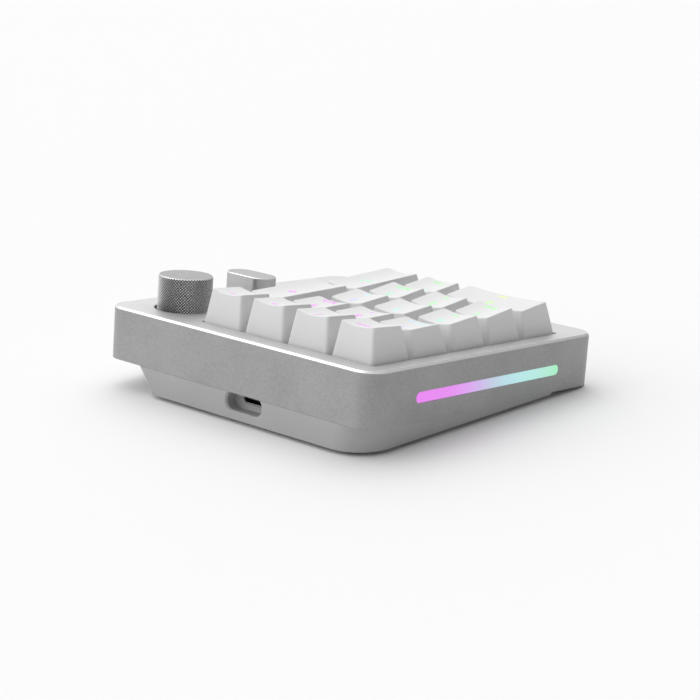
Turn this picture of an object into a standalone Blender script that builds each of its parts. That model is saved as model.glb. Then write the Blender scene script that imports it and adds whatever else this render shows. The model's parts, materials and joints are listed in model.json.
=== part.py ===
"""Numeric keypad: a metal top frame over a wedge-shaped lower case, seventeen keys, a knob and a slider.

Everything is modelled in case axes: X to the user's right, Y to the rear, Z square to the top face,
with the zero at the middle of the top face. One empty tilts the case so that it stands on its feet.
Sizes are in millimetres and MM turns them into metres.
"""
import math

import bmesh
import bpy
from mathutils import Vector

MM = 0.001

# Case
TILT = math.radians(4.6)
WIDTH = 120.5
DEPTH = 117.5
FRAME_HEIGHT = 18.0
FRAME_CORNER = 7.5
FRAME_CHAMFER = 0.8
FRAME_WALL = 3.0
SLAB_UNDERSIDE = -7.7
REAR_HEIGHT = 26.7
FOOT_DROP = 1.2
GAP = 0.3

# Lower case: a wedge under the frame, and a panel inside it
PANEL_TOP = -15.5
PANEL_UNDERSIDE = -17.8
FLOOR = 2.2
WEDGE_LEFT_INSET = 0.4
WEDGE_LEFT_TAPER = 1.5
WEDGE_RIGHT_INSET = 17.0
WEDGE_RIGHT_TAPER = 7.0
WEDGE_FRONT = 97.0
WEDGE_LEFT_CORNER = 13.0
WEDGE_RIGHT_CORNER = 2.0
WEDGE_FRONT_CORNER = 4.0
WEDGE_WALL = 2.6
NECK_INSET = 10.0
NECK_TOP = -20.0
HOLLOW_CORNER = 4.0

# Keys
PITCH = 19.05
KEYS_LEFT = 6.6
KEYS_REAR = 8.1
KEY_BASE_INSET = 0.45
KEY_TOP_INSET = 2.6
KEY_SKIRT = -2.0
KEY_WALL = 1.25
KEY_CROWN = 2.4
KEY_DISH = 0.9
OPENING_MARGIN = -0.1
OPENING_CORNER = 1.0

# Sculpted rows, rear to front: top edge height and inset at the rear, then at the front
ROWS = (
    (11.4, 2.1, 10.7, 3.9),
    (8.9, 1.4, 9.3, 4.2),
    (8.6, 1.4, 10.1, 4.1),
    (8.7, 1.3, 10.8, 4.5),
    (9.0, 1.1, 11.0, 4.6),
)

# Name, first column, first row, columns wide, rows deep
KEYS = (
    ("num_lock", 0, 0, 1, 1),
    ("divide", 1, 0, 1, 1),
    ("multiply", 2, 0, 1, 1),
    ("subtract", 3, 0, 1, 1),
    ("7", 0, 1, 1, 1),
    ("8", 1, 1, 1, 1),
    ("9", 2, 1, 1, 1),
    ("add", 3, 1, 1, 2),
    ("4", 0, 2, 1, 1),
    ("5", 1, 2, 1, 1),
    ("6", 2, 2, 1, 1),
    ("1", 0, 3, 1, 1),
    ("2", 1, 3, 1, 1),
    ("3", 2, 3, 1, 1),
    ("enter", 3, 3, 1, 2),
    ("0", 0, 4, 2, 1),
    ("point", 2, 4, 1, 1),
)

# Switches, their plate and board
PLATE_TOP = -8.0
PLATE_THICKNESS = 1.5
PLATE_RIGHT = 88.0
PLATE_HOLE = 14.0
BOARD_TOP = -13.0
BOARD_THICKNESS = 1.6
HOUSING_TOP = -1.4
STEM_SHOULDER = -1.9
CROSS_HEIGHT = 4.0
CROSS_STEM = (2.0, 0.6)
CROSS_SOCKET = (2.3, 0.9)
SHOULDER = (3.3, 2.8)
SHOULDER_DEPTH = 5.6
KEY_POST_RADIUS = 2.7
HOUSING_FLANGE = 7.7
HOUSING_FLANGE_HEIGHT = 1.1
HOUSING_FOOT = 7.2
HOUSING_CROWN = 5.2
HOUSING_BORE = (3.8, 3.3)

# Knob and its encoder
KNOB_X = 101.4
KNOB_Y = 18.4
KNOB_RADIUS = 9.3
KNOB_CHAMFER = 0.6
KNOB_TOP = 11.5
KNOB_UNDERSIDE = -2.2
KNOB_WELL_RADIUS = 10.1
KNOB_WELL_FLOOR = -2.5
SHAFT_RADIUS = 3.0
SHAFT_END = -9.6
BUSH_RADIUS = 3.9
ENCODER_HALF = 6.5
ENCODER_TOP = -6.2
POCKET_MARGIN = 0.5

# Slider: its travel is TRACK_TRAVEL, from TRACK_REAR at the rear stop
SLIDER_AT = 50.0
SLIDER_LENGTH = 20.0
SLIDER_WIDTH = 10.0
SLIDER_TOP = 9.2
TRACK_REAR = 43.0
TRACK_TRAVEL = 45.0
LEVER_THICKNESS = 1.2
LEVER_WIDTH = 5.0
LEVER_TOP = 6.0
LEVER_END = -9.4
TRACK_HALF = 4.5
TRACK_TOP = -5.2
TRACK_END = 7.5
TRACK_CLEARANCE = 0.7

# Light bars in both side walls
BAR_REAR = 21.7
BAR_FRONT = 96.0
BAR_MIDDLE = -10.4
BAR_HEIGHT = 3.6

# Socket at the rear
SOCKET_X = 53.0
SOCKET_Z = -19.95
SOCKET_WIDTH = 9.0
SOCKET_HEIGHT = 3.3
RECESS_WIDTH = 15.5
RECESS_TOP = -17.6
RECESS_BOTTOM = -23.7
RECESS_DEPTH = 4.5
BOSS_HALF = 11.0
SHELL_LENGTH = 8.4
SHELL_WALL = 0.4
TONGUE_HALF = (3.35, 0.35)

# Places as (distance from the left face, distance from the rear face)
SCREWS = ((10.5, 5.9), (113.5, 6.1), (8.5, 109.5), (112.0, 109.5))
SCREW_POST_RADIUS = 2.6
SCREW_HOLE_RADIUS = 1.6
HEAD_RECESS_RADIUS = 2.7
HEAD_RECESS_DEPTH = 1.3
FEET = ((17.0, 15.0), (90.0, 15.0), (17.0, 88.0), (92.0, 88.0))
FOOT_RADIUS = 5.0
FOOT_THICKNESS = 1.9
RECESS_CUT = 6.0

COLOURS = {
    "frame_metal": ((0.60, 0.60, 0.61), 0.42, 0.9),
    "case_metal": ((0.66, 0.66, 0.67), 0.5, 0.2),
    "key_plastic": ((0.86, 0.86, 0.87), 0.45, 0.0),
    "stem_plastic": ((0.75, 0.12, 0.10), 0.4, 0.0),
    "plate_steel": ((0.72, 0.72, 0.73), 0.45, 0.9),
    "board_laminate": ((0.90, 0.90, 0.88), 0.5, 0.0),
    "knob_metal": ((0.45, 0.45, 0.46), 0.3, 1.0),
    "socket_metal": ((0.30, 0.30, 0.31), 0.35, 1.0),
    "dark_plastic": ((0.03, 0.03, 0.03), 0.5, 0.0),
    "diffuser": ((0.80, 0.85, 0.95), 0.3, 0.0),
    "foot_rubber": ((0.05, 0.05, 0.05), 0.8, 0.0),
    "screw_steel": ((0.35, 0.35, 0.36), 0.35, 1.0),
}

for leftover in list(bpy.data.objects):
    bpy.data.objects.remove(leftover, do_unlink=True)

parts = bpy.data.collections.new("numeric_keypad")
cutters = bpy.data.collections.new("cutters")
for group in (parts, cutters):
    bpy.context.scene.collection.children.link(group)


def make_material(name):
    """One Principled material from the colour table."""
    colour, roughness, metallic = COLOURS[name]
    material = bpy.data.materials.new(name)
    material.use_nodes = True
    shader = material.node_tree.nodes["Principled BSDF"]
    shader.inputs["Base Color"].default_value = (*colour, 1.0)
    shader.inputs["Roughness"].default_value = roughness
    shader.inputs["Metallic"].default_value = metallic
    material.diffuse_color = (*colour, 1.0)
    return material


MATERIALS = {name: make_material(name) for name in COLOURS}


def make_case_axes():
    """The tilted empty that carries the case, set so the feet stand at the world's origin."""
    rear_low = DEPTH / 2 * math.cos(TILT) + REAR_HEIGHT * math.sin(TILT)
    front_high = DEPTH / 2 * math.cos(TILT) - FRAME_CHAMFER * math.sin(TILT)
    drop = REAR_HEIGHT * math.cos(TILT) - DEPTH / 2 * math.sin(TILT)
    axes = bpy.data.objects.new("case_axes", None)
    axes.location = Vector((0.0, (front_high - rear_low) / 2, drop + FOOT_DROP)) * MM
    axes.rotation_euler = (TILT, 0.0, 0.0)
    parts.objects.link(axes)
    bpy.context.view_layer.update()
    return axes


CASE_AXES = make_case_axes()


def across(distance):
    """Case X of a place measured from the left face."""
    return distance - WIDTH / 2


def back(distance):
    """Case Y of a place measured from the rear face."""
    return DEPTH / 2 - distance


def base_plane(distance):
    """Case Z of the level underside, at a distance from the rear face."""
    return -REAR_HEIGHT + distance * math.tan(TILT)


def add_object(name, mesh, place, material=None, rotation=(0.0, 0.0, 0.0), level=False):
    """Put a mesh in the case: a part where it has a material, a cutter where it has none."""
    item = bpy.data.objects.new(name, mesh)
    item.location = Vector(place) * MM
    item.rotation_euler = rotation
    if not level:
        item.parent = CASE_AXES
    if material:
        mesh.materials.append(MATERIALS[material])
        parts.objects.link(item)
    else:
        item.hide_render = True
        item.display_type = "WIRE"
        cutters.objects.link(item)
    return item


def finish_mesh(name, bm, smooth_angle=30.0):
    """Turn a bmesh in millimetres into a mesh in metres."""
    bmesh.ops.recalc_face_normals(bm, faces=bm.faces)
    bmesh.ops.scale(bm, vec=(MM, MM, MM), verts=bm.verts)
    mesh = bpy.data.meshes.new(name)
    bm.to_mesh(mesh)
    bm.free()
    mesh.shade_smooth()
    mesh.set_sharp_from_angle(angle=math.radians(smooth_angle))
    return mesh


def block_mesh(name, size, corner=0.0, segments=3, chamfer=0.0, top_only=False):
    """A box with rounded upright edges, and a chamfer on its top rim or on both rims."""
    bm = bmesh.new()
    bmesh.ops.create_cube(bm, size=1.0)
    bmesh.ops.scale(bm, vec=size, verts=bm.verts)
    if corner:
        upright = [e for e in bm.edges if abs(e.verts[0].co.z - e.verts[1].co.z) > size[2] / 2]
        bmesh.ops.bevel(bm, geom=upright, offset=corner, segments=segments, profile=0.5, affect="EDGES")
    if chamfer:
        lowest = 0.0 if top_only else -size[2]
        level_edges = [e for e in bm.edges if abs(e.verts[0].co.z - e.verts[1].co.z) < size[2] / 2]
        rims = [e for e in level_edges if e.verts[0].co.z > lowest]
        bmesh.ops.bevel(bm, geom=rims, offset=chamfer, segments=1, profile=0.5, affect="EDGES")
    return finish_mesh(name, bm)


def add_block(name, low, high, material=None, corner=0.0, segments=3, chamfer=0.0, top_only=False):
    """A block between two corners given in case axes."""
    low = Vector(low)
    high = Vector(high)
    mesh = block_mesh(name, high - low, corner, segments, chamfer, top_only)
    return add_object(name, mesh, (low + high) / 2, material)


def add_cylinder(name, place, radius, z_low, z_high, material=None, segments=24):
    """A cylinder square to the top face."""
    bm = bmesh.new()
    depth = z_high - z_low
    bmesh.ops.create_cone(bm, cap_ends=True, segments=segments, radius1=radius, radius2=radius, depth=depth)
    mesh = finish_mesh(name, bm)
    return add_object(name, mesh, (place[0], place[1], (z_low + z_high) / 2), material)


def add_side_pill(name, x_low, x_high, length, height, material=None):
    """A long round-ended bar through a side wall, its face on the YZ plane."""
    size = (height, length, x_high - x_low)
    mesh = block_mesh(name, size, corner=height * 0.49, segments=4)
    place = ((x_low + x_high) / 2, back((BAR_REAR + BAR_FRONT) / 2), BAR_MIDDLE)
    return add_object(name, mesh, place, material, rotation=(0.0, math.pi / 2, 0.0))


def combine(target, other, operation):
    """Cut, join or intersect a part with another mesh, exactly."""
    step = target.modifiers.new(other.name, "BOOLEAN")
    step.operation = operation
    step.object = other
    step.solver = "EXACT"


def cut(target, other):
    combine(target, other, "DIFFERENCE")


def join(target, other):
    combine(target, other, "UNION")


# Rings of sixteen points, so that unlike outlines can be lofted together

def quarter_turns(points):
    """Mirror the points of one quarter, from +X to +Y, round to a full ring."""
    right_front = [(-x, y) for x, y in reversed(points[:-1])]
    upper = points + right_front
    lower = [(x, -y) for x, y in reversed(upper[1:-1])]
    return upper + lower


def rectangle_ring(half_x, half_y, radius):
    diagonal = radius * (1 - math.sqrt(0.5))
    return quarter_turns([
        (half_x, 0.0),
        (half_x, half_y - radius),
        (half_x - diagonal, half_y - diagonal),
        (half_x - radius, half_y),
        (0.0, half_y),
    ])


def circle_ring(radius):
    angles = [math.pi / 8 * step for step in range(16)]
    return [(radius * math.cos(angle), radius * math.sin(angle)) for angle in angles]


def cross_ring(half_length, half_thickness):
    return quarter_turns([
        (half_length, 0.0),
        (half_length, half_thickness),
        (half_thickness, half_thickness),
        (half_thickness, half_length),
        (0.0, half_length),
    ])


def level_ring(outline, height):
    return [(x, y, height) for x, y in outline]


def loft_mesh(name, rings, smooth_angle=30.0):
    """A closed skin over the rings in turn, with a flat or fanned cap on each end."""
    bm = bmesh.new()
    rows = [[bm.verts.new(point) for point in ring] for ring in rings]
    for lower, upper in zip(rows, rows[1:]):
        for index in range(len(lower)):
            after = (index + 1) % len(lower)
            bm.faces.new((lower[index], lower[after], upper[after], upper[index]))
    for ring in (rows[0], rows[-1]):
        middle = sum((vert.co for vert in ring), Vector()) / len(ring)
        tip = bm.verts.new(middle)
        for index, vert in enumerate(ring):
            bm.faces.new((vert, ring[(index + 1) % len(ring)], tip))
    return finish_mesh(name, bm, smooth_angle)


# Frame

def make_top_frame():
    frame = add_block("top_frame", (-WIDTH / 2, -DEPTH / 2, -FRAME_HEIGHT), (WIDTH / 2, DEPTH / 2, 0.0),
                      "frame_metal", FRAME_CORNER, 8, FRAME_CHAMFER, top_only=True)
    wall_x = WIDTH / 2 - FRAME_WALL
    wall_y = DEPTH / 2 - FRAME_WALL
    cut(frame, add_block("frame_cavity", (-wall_x, -wall_y, -FRAME_HEIGHT - 1),
                         (wall_x, wall_y, SLAB_UNDERSIDE), corner=FRAME_CORNER - FRAME_WALL))
    left = across(KEYS_LEFT - OPENING_MARGIN)
    right = across(KEYS_LEFT + 4 * PITCH + OPENING_MARGIN)
    front = back(KEYS_REAR + 5 * PITCH + OPENING_MARGIN)
    rear = back(KEYS_REAR - OPENING_MARGIN)
    cut(frame, add_block("key_opening", (left, front, SLAB_UNDERSIDE - 1), (right, rear, 1.0),
                         corner=OPENING_CORNER))
    knob = (across(KNOB_X), back(KNOB_Y))
    cut(frame, add_cylinder("knob_well", knob, KNOB_WELL_RADIUS, KNOB_WELL_FLOOR, 1.0, segments=40))
    cut(frame, add_cylinder("bush_hole", knob, BUSH_RADIUS + GAP, SLAB_UNDERSIDE - 1, 0.5))
    pocket = ENCODER_HALF + POCKET_MARGIN
    cut(frame, add_block("encoder_pocket", (knob[0] - pocket, knob[1] - pocket, SLAB_UNDERSIDE - 1),
                         (knob[0] + pocket, knob[1] + pocket, ENCODER_TOP + 2 * GAP)))
    slot_half = LEVER_THICKNESS / 2 + 0.7
    slot_end = LEVER_WIDTH / 2 + 0.6
    slot_front = back(TRACK_REAR + TRACK_TRAVEL + slot_end)
    cut(frame, add_block("lever_slot", (knob[0] - slot_half, slot_front, SLAB_UNDERSIDE - 1),
                         (knob[0] + slot_half, back(TRACK_REAR - slot_end), 1.0), corner=slot_half * 0.9))
    pocket = TRACK_HALF + TRACK_CLEARANCE
    pocket_front = back(TRACK_REAR + TRACK_TRAVEL + TRACK_END + TRACK_CLEARANCE)
    cut(frame, add_block("track_pocket", (knob[0] - pocket, pocket_front, SLAB_UNDERSIDE - 1),
                         (knob[0] + pocket, back(TRACK_REAR - TRACK_END - TRACK_CLEARANCE), TRACK_TOP + GAP)))
    for side, sign in (("left", -1), ("right", 1)):
        ends = sorted((sign * (wall_x - 1), sign * (WIDTH / 2 + 1)))
        cut(frame, add_side_pill("bar_slot_" + side, *ends, BAR_FRONT - BAR_REAR, BAR_HEIGHT))
    for number, (from_left, from_rear) in enumerate(SCREWS):
        place = (across(from_left), back(from_rear))
        post_end = base_plane(from_rear) + FLOOR + GAP if number == 0 else PANEL_TOP + GAP
        join(frame, add_cylinder("post_%d" % number, place, SCREW_POST_RADIUS, post_end, SLAB_UNDERSIDE + 1,
                                 segments=16))
        cut(frame, add_cylinder("post_hole_%d" % number, place, SCREW_HOLE_RADIUS, post_end - 1,
                                SLAB_UNDERSIDE + 3, segments=12))


def add_light_bars():
    inner = WIDTH / 2 - FRAME_WALL
    for side, sign in (("left", -1), ("right", 1)):
        ends = sorted((sign * (inner + 0.2), sign * WIDTH / 2))
        length = BAR_FRONT - BAR_REAR - 2 * GAP
        add_side_pill("light_bar_" + side, *ends, length, BAR_HEIGHT - 2 * GAP, "diffuser")
        strip = sorted((sign * (inner - GAP), sign * (inner - GAP - 0.6)))
        add_block("light_strip_" + side, (strip[0], back(BAR_FRONT), -12.6), (strip[1], back(BAR_REAR), -9.9),
                  "board_laminate")


# Lower case

def wedge_ring(left, right, rear, front, height):
    """One outline of the wedge, with its corners rounded to their own radii."""
    points = []
    corners = (
        (right, rear, -1, -1, WEDGE_RIGHT_CORNER, 0.0),
        (left, rear, 1, -1, WEDGE_LEFT_CORNER, 90.0),
        (left, front, 1, 1, WEDGE_FRONT_CORNER, 180.0),
        (right, front, -1, 1, WEDGE_FRONT_CORNER, 270.0),
    )
    for corner_x, corner_y, to_x, to_y, radius, start in corners:
        x = corner_x + to_x * radius
        y = corner_y + to_y * radius
        for step in range(7):
            angle = math.radians(start + 15.0 * step)
            points.append((x + radius * math.cos(angle), y + radius * math.sin(angle), height))
    return points


def add_level_block(name, low, height):
    """A wide level slab, standing square to the world, that starts at a height over the desk."""
    mesh = block_mesh(name, (2 * WIDTH, 2 * DEPTH, height))
    return add_object(name, mesh, (0.0, 0.0, low + height / 2), level=True)


def make_bottom_case():
    inner_x = WIDTH / 2 - FRAME_WALL - GAP
    inner_y = DEPTH / 2 - FRAME_WALL - GAP
    case = add_block("bottom_case", (-inner_x, -inner_y, PANEL_UNDERSIDE), (inner_x, inner_y, PANEL_TOP),
                     "case_metal", FRAME_CORNER - FRAME_WALL)
    left = across(WEDGE_LEFT_INSET)
    right = across(WIDTH - WEDGE_RIGHT_INSET)
    low = -REAR_HEIGHT - 1.0
    high = -FRAME_HEIGHT - GAP
    taper = (high - low) / (high + REAR_HEIGHT)
    rings = [
        wedge_ring(left + WEDGE_LEFT_TAPER * taper, right - WEDGE_RIGHT_TAPER * taper, back(0.0),
                   back(WEDGE_FRONT), low),
        wedge_ring(left, right, back(0.0), back(WEDGE_FRONT), high),
    ]
    join(case, add_object("wedge", loft_mesh("wedge", rings), (0.0, 0.0, 0.0)))
    wall = FRAME_WALL + GAP
    neck_right = across(WIDTH - WEDGE_RIGHT_INSET - NECK_INSET)
    join(case, add_block("wedge_neck", (across(wall), back(WEDGE_FRONT - FRAME_WALL), NECK_TOP),
                         (neck_right, back(wall), PANEL_UNDERSIDE + 1.0), corner=HOLLOW_CORNER))
    hollow_front = back(WEDGE_FRONT - FRAME_WALL - WEDGE_WALL)
    hollow_rear = back(wall + WEDGE_WALL)
    hollow = add_block("wedge_hollow", (across(wall + WEDGE_WALL), hollow_front, -REAR_HEIGHT - 5.0),
                       (neck_right - WEDGE_WALL, hollow_rear, PANEL_TOP + 2.0), corner=HOLLOW_CORNER)
    combine(hollow, add_level_block("above_floor", FOOT_DROP + FLOOR, 80.0), "INTERSECT")
    cut(case, hollow)
    boss_front = back(RECESS_DEPTH + 1.8)
    join(case, add_block("socket_boss", (across(SOCKET_X - BOSS_HALF), boss_front, RECESS_BOTTOM - 1.0),
                         (across(SOCKET_X + BOSS_HALF), back(1.0), -FRAME_HEIGHT - GAP)))
    recess_height = RECESS_TOP - RECESS_BOTTOM
    recess_size = (RECESS_WIDTH, recess_height, RECESS_DEPTH + 5.0)
    recess = block_mesh("socket_recess", recess_size, corner=recess_height * 0.49, segments=5)
    recess_y = back(RECESS_DEPTH - recess_size[2] / 2)
    recess_place = (across(SOCKET_X), recess_y, (RECESS_TOP + RECESS_BOTTOM) / 2)
    cut(case, add_object("socket_recess", recess, recess_place, rotation=(math.pi / 2, 0.0, 0.0)))
    cut(case, add_socket_tube("socket_hole", GAP, back(RECESS_DEPTH + 4.0), back(RECESS_DEPTH - 1.0)))
    cut(case, add_level_block("below_base", FOOT_DROP - 40.0, 40.0))
    for number, (from_left, from_rear) in enumerate(SCREWS):
        place = (across(from_left), back(from_rear))
        underside = max(base_plane(from_rear), PANEL_UNDERSIDE) if number else base_plane(from_rear)
        cut(case, add_cylinder("screw_hole_%d" % number, place, SCREW_HOLE_RADIUS, underside - 1,
                               PANEL_TOP + 1, segments=12))
        if number == 0:
            cut(case, add_cylinder("post_well", place, SCREW_POST_RADIUS + GAP, underside + FLOOR,
                                   PANEL_TOP + 1, segments=16))
        cut(case, add_cylinder("head_recess_%d" % number, place, HEAD_RECESS_RADIUS, underside - 3,
                               underside + HEAD_RECESS_DEPTH, segments=16))
    for number, (from_left, from_rear) in enumerate(FEET):
        cutter = add_cylinder("foot_recess_%d" % number, (0.0, 0.0), FOOT_RADIUS + GAP, 0.0, RECESS_CUT)
        cutter.parent = None
        cutter.location = foot_place(from_left, from_rear, FOOT_THICKNESS + GAP - RECESS_CUT / 2)
        cut(case, cutter)


def foot_place(from_left, from_rear, height):
    """World place of a foot, under a point of the level underside."""
    over_foot = CASE_AXES.matrix_world @ (Vector((0.0, back(from_rear), base_plane(from_rear))) * MM)
    return Vector((across(from_left) * MM, over_foot.y, height * MM))


def add_feet():
    for number, (from_left, from_rear) in enumerate(FEET):
        ends = ("rear", "front")[number // 2] + ("_left", "_right")[number % 2]
        foot = add_cylinder("foot_" + ends, (0.0, 0.0), FOOT_RADIUS, 0.0, FOOT_THICKNESS, "foot_rubber")
        foot.parent = None
        foot.location = foot_place(from_left, from_rear, FOOT_THICKNESS / 2)


def add_screws():
    for number, (from_left, from_rear) in enumerate(SCREWS):
        underside = max(base_plane(from_rear), PANEL_UNDERSIDE) if number else base_plane(from_rear)
        name = "case_screw_" + ("rear", "front")[number // 2] + ("_left", "_right")[number % 2]
        profile = [(0.0, 8.5), (1.3, 8.0), (1.3, 1.0), (2.3, 1.0), (2.3, 0.2), (0.0, 0.2)]
        turned = [(radius, underside + height) for radius, height in profile]
        add_turned(name, (across(from_left), back(from_rear)), turned, "screw_steel", 16)


def add_turned(name, place, profile, material=None, steps=32):
    """A turned piece: a closed (radius, height) profile swept round the upright axis through a place."""
    mesh = bpy.data.meshes.new(name)
    points = [(radius * MM, 0.0, height * MM) for radius, height in profile]
    joins = [(index, index + 1) for index in range(len(points) - 1)]
    mesh.from_pydata(points, joins, [])
    item = add_object(name, mesh, (*place, 0.0), material)
    turn = item.modifiers.new("turn", "SCREW")
    turn.axis = "Z"
    turn.steps = steps
    turn.render_steps = steps
    turn.use_merge_vertices = True
    turn.merge_threshold = 0.00001
    turn.use_smooth_shade = False
    return item


# Socket

def add_socket_tube(name, grow, y_low, y_high, material=None):
    """A round-ended bar of the socket's outline, along Y."""
    height = SOCKET_HEIGHT + 2 * grow
    size = (SOCKET_WIDTH + 2 * grow, height, y_high - y_low)
    mesh = block_mesh(name, size, corner=height * 0.47, segments=4)
    place = (across(SOCKET_X), (y_low + y_high) / 2, SOCKET_Z)
    return add_object(name, mesh, place, material, rotation=(math.pi / 2, 0.0, 0.0))


def make_socket():
    mouth = back(RECESS_DEPTH + 0.1)
    shell_back = mouth - SHELL_LENGTH
    shell = add_socket_tube("usb_shell", 0.0, shell_back, mouth, "socket_metal")
    cut(shell, add_socket_tube("shell_bore", -SHELL_WALL, shell_back + 0.5, mouth + 1.0))
    half_width, half_height = TONGUE_HALF
    add_block("usb_tongue", (across(SOCKET_X - half_width), shell_back + 0.8, SOCKET_Z - half_height),
              (across(SOCKET_X + half_width), mouth - 0.8, SOCKET_Z + half_height), "dark_plastic")
    board_top = SOCKET_Z - SOCKET_HEIGHT / 2 - GAP
    add_block("usb_board", (across(SOCKET_X - 10.0), back(16.0), board_top - 1.0),
              (across(SOCKET_X + 10.0), back(RECESS_DEPTH + 2.2), board_top), "board_laminate")


# Plate, board and switches

def key_centre(column, row, columns, rows):
    return across(KEYS_LEFT + (column + columns / 2) * PITCH), back(KEYS_REAR + (row + rows / 2) * PITCH)


def cut_post_clearances(target, z_low, z_high):
    for number, (from_left, from_rear) in enumerate(SCREWS):
        place = (across(from_left), back(from_rear))
        name = "%s_post_gap_%d" % (target.name, number)
        radius = SCREW_POST_RADIUS + 2 * GAP
        cut(target, add_cylinder(name, place, radius, z_low - 1, z_high + 1, segments=16))


def repeated_mesh(name, shapes):
    """Several closed lofts kept together in one mesh."""
    bm = bmesh.new()
    for centre, rings in shapes:
        single = loft_mesh(name, rings)
        before = len(bm.verts)
        bm.from_mesh(single)
        bpy.data.meshes.remove(single)
        bm.verts.ensure_lookup_table()
        bmesh.ops.translate(bm, vec=Vector((*centre, 0.0)) * MM, verts=bm.verts[before:])
    mesh = bpy.data.meshes.new(name)
    bm.to_mesh(mesh)
    bm.free()
    return mesh


def box_ring(half_x, half_y, height):
    signs = ((1, -1), (1, 1), (-1, 1), (-1, -1))
    return [(sign_x * half_x, sign_y * half_y, height) for sign_x, sign_y in signs]


def make_plate_and_board():
    left = across(FRAME_WALL + GAP)
    front = back(DEPTH - FRAME_WALL - GAP)
    rear = back(FRAME_WALL + GAP)
    plate = add_block("switch_plate", (left, front, PLATE_TOP - PLATE_THICKNESS),
                      (across(PLATE_RIGHT), rear, PLATE_TOP), "plate_steel", FRAME_CORNER - FRAME_WALL)
    centres = [key_centre(*key[1:]) for key in KEYS]
    half_hole = PLATE_HOLE / 2
    hole = [box_ring(half_hole, half_hole, PLATE_TOP - 3.0), box_ring(half_hole, half_hole, PLATE_TOP + 1.0)]
    holes = repeated_mesh("switch_holes", [(centre, hole) for centre in centres])
    cut(plate, add_object("switch_holes", holes, (0.0, 0.0, 0.0)))
    cut_post_clearances(plate, PLATE_TOP - PLATE_THICKNESS, PLATE_TOP)
    board = add_block("circuit_board", (left, front, BOARD_TOP - BOARD_THICKNESS), (-left, rear, BOARD_TOP),
                      "board_laminate", FRAME_CORNER - FRAME_WALL)
    neck = half_hole - GAP
    flange_top = PLATE_TOP + HOUSING_FLANGE_HEIGHT
    housing = [
        box_ring(neck, neck, BOARD_TOP - 0.5),
        box_ring(neck, neck, PLATE_TOP + GAP),
        box_ring(HOUSING_FLANGE, HOUSING_FLANGE, PLATE_TOP + GAP),
        box_ring(HOUSING_FLANGE, HOUSING_FLANGE, flange_top),
        box_ring(HOUSING_FOOT, HOUSING_FOOT, flange_top),
        box_ring(HOUSING_CROWN, HOUSING_CROWN, HOUSING_TOP),
        box_ring(*HOUSING_BORE, HOUSING_TOP),
        box_ring(*HOUSING_BORE, BOARD_TOP + 1.0),
    ]
    housings = repeated_mesh("switch_housings", [(centre, housing) for centre in centres])
    join(board, add_object("switch_housings", housings, (0.0, 0.0, 0.0)))
    cut_post_clearances(board, BOARD_TOP - BOARD_THICKNESS, BOARD_TOP)


# Keys

def top_profile(row, rows):
    """Top edge heights and insets of a key: the rear edge of its first row, the front edge of its last."""
    rear_height, rear_inset, _, _ = ROWS[row]
    _, _, front_height, front_inset = ROWS[row + rows - 1]
    return rear_height, rear_inset, front_height, front_inset


def keycap_rings(row, columns, rows):
    half_x = columns * PITCH / 2
    half_y = rows * PITCH / 2
    rear_height, rear_inset, front_height, front_inset = top_profile(row, rows)
    top_x = half_x - KEY_TOP_INSET
    top_y = half_y - (rear_inset + front_inset) / 2
    shift = (front_inset - rear_inset) / 2
    lean = (rear_height - front_height) / (2 * top_y)
    middle = (rear_height + front_height) / 2

    def top_ring(scale):
        ring = []
        for x, y in rectangle_ring(top_x * scale, top_y * scale, 1.2 * scale):
            dish = KEY_DISH * (1 - (x / top_x) ** 2)
            ring.append((x, y + shift, middle + y * lean - dish))
        return ring

    base_x = half_x - KEY_BASE_INSET
    base_y = half_y - KEY_BASE_INSET
    ceiling = min(rear_height, front_height) - KEY_CROWN
    cross_top = STEM_SHOULDER + CROSS_HEIGHT + GAP
    post_end = STEM_SHOULDER + 0.4
    inner_top = [(x, y + shift, ceiling) for x, y in
                 rectangle_ring(top_x - KEY_WALL * 0.6, top_y - KEY_WALL * 0.8, 0.6)]
    return [
        top_ring(0.5),
        top_ring(1.0),
        level_ring(rectangle_ring(base_x, base_y, 0.8), KEY_SKIRT),
        level_ring(rectangle_ring(base_x - KEY_WALL, base_y - KEY_WALL, 0.4), KEY_SKIRT),
        inner_top,
        level_ring(circle_ring(KEY_POST_RADIUS), ceiling),
        level_ring(circle_ring(KEY_POST_RADIUS), post_end),
        level_ring(cross_ring(*CROSS_SOCKET), post_end),
        level_ring(cross_ring(*CROSS_SOCKET), cross_top),
    ]


def stem_rings():
    shoulder = rectangle_ring(*SHOULDER, 0.3)
    cross = cross_ring(*CROSS_STEM)
    return [
        level_ring(shoulder, STEM_SHOULDER - SHOULDER_DEPTH),
        level_ring(shoulder, STEM_SHOULDER),
        level_ring(cross, STEM_SHOULDER),
        level_ring(cross, STEM_SHOULDER + CROSS_HEIGHT),
    ]


def add_keys():
    for name, column, row, columns, rows in KEYS:
        place = (*key_centre(column, row, columns, rows), 0.0)
        cap = loft_mesh("keycap_" + name, keycap_rings(row, columns, rows))
        add_object("keycap_" + name, cap, place, "key_plastic")
        stem = loft_mesh("switch_stem_" + name, stem_rings())
        add_object("switch_stem_" + name, stem, place, "stem_plastic")


# Knob

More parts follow.
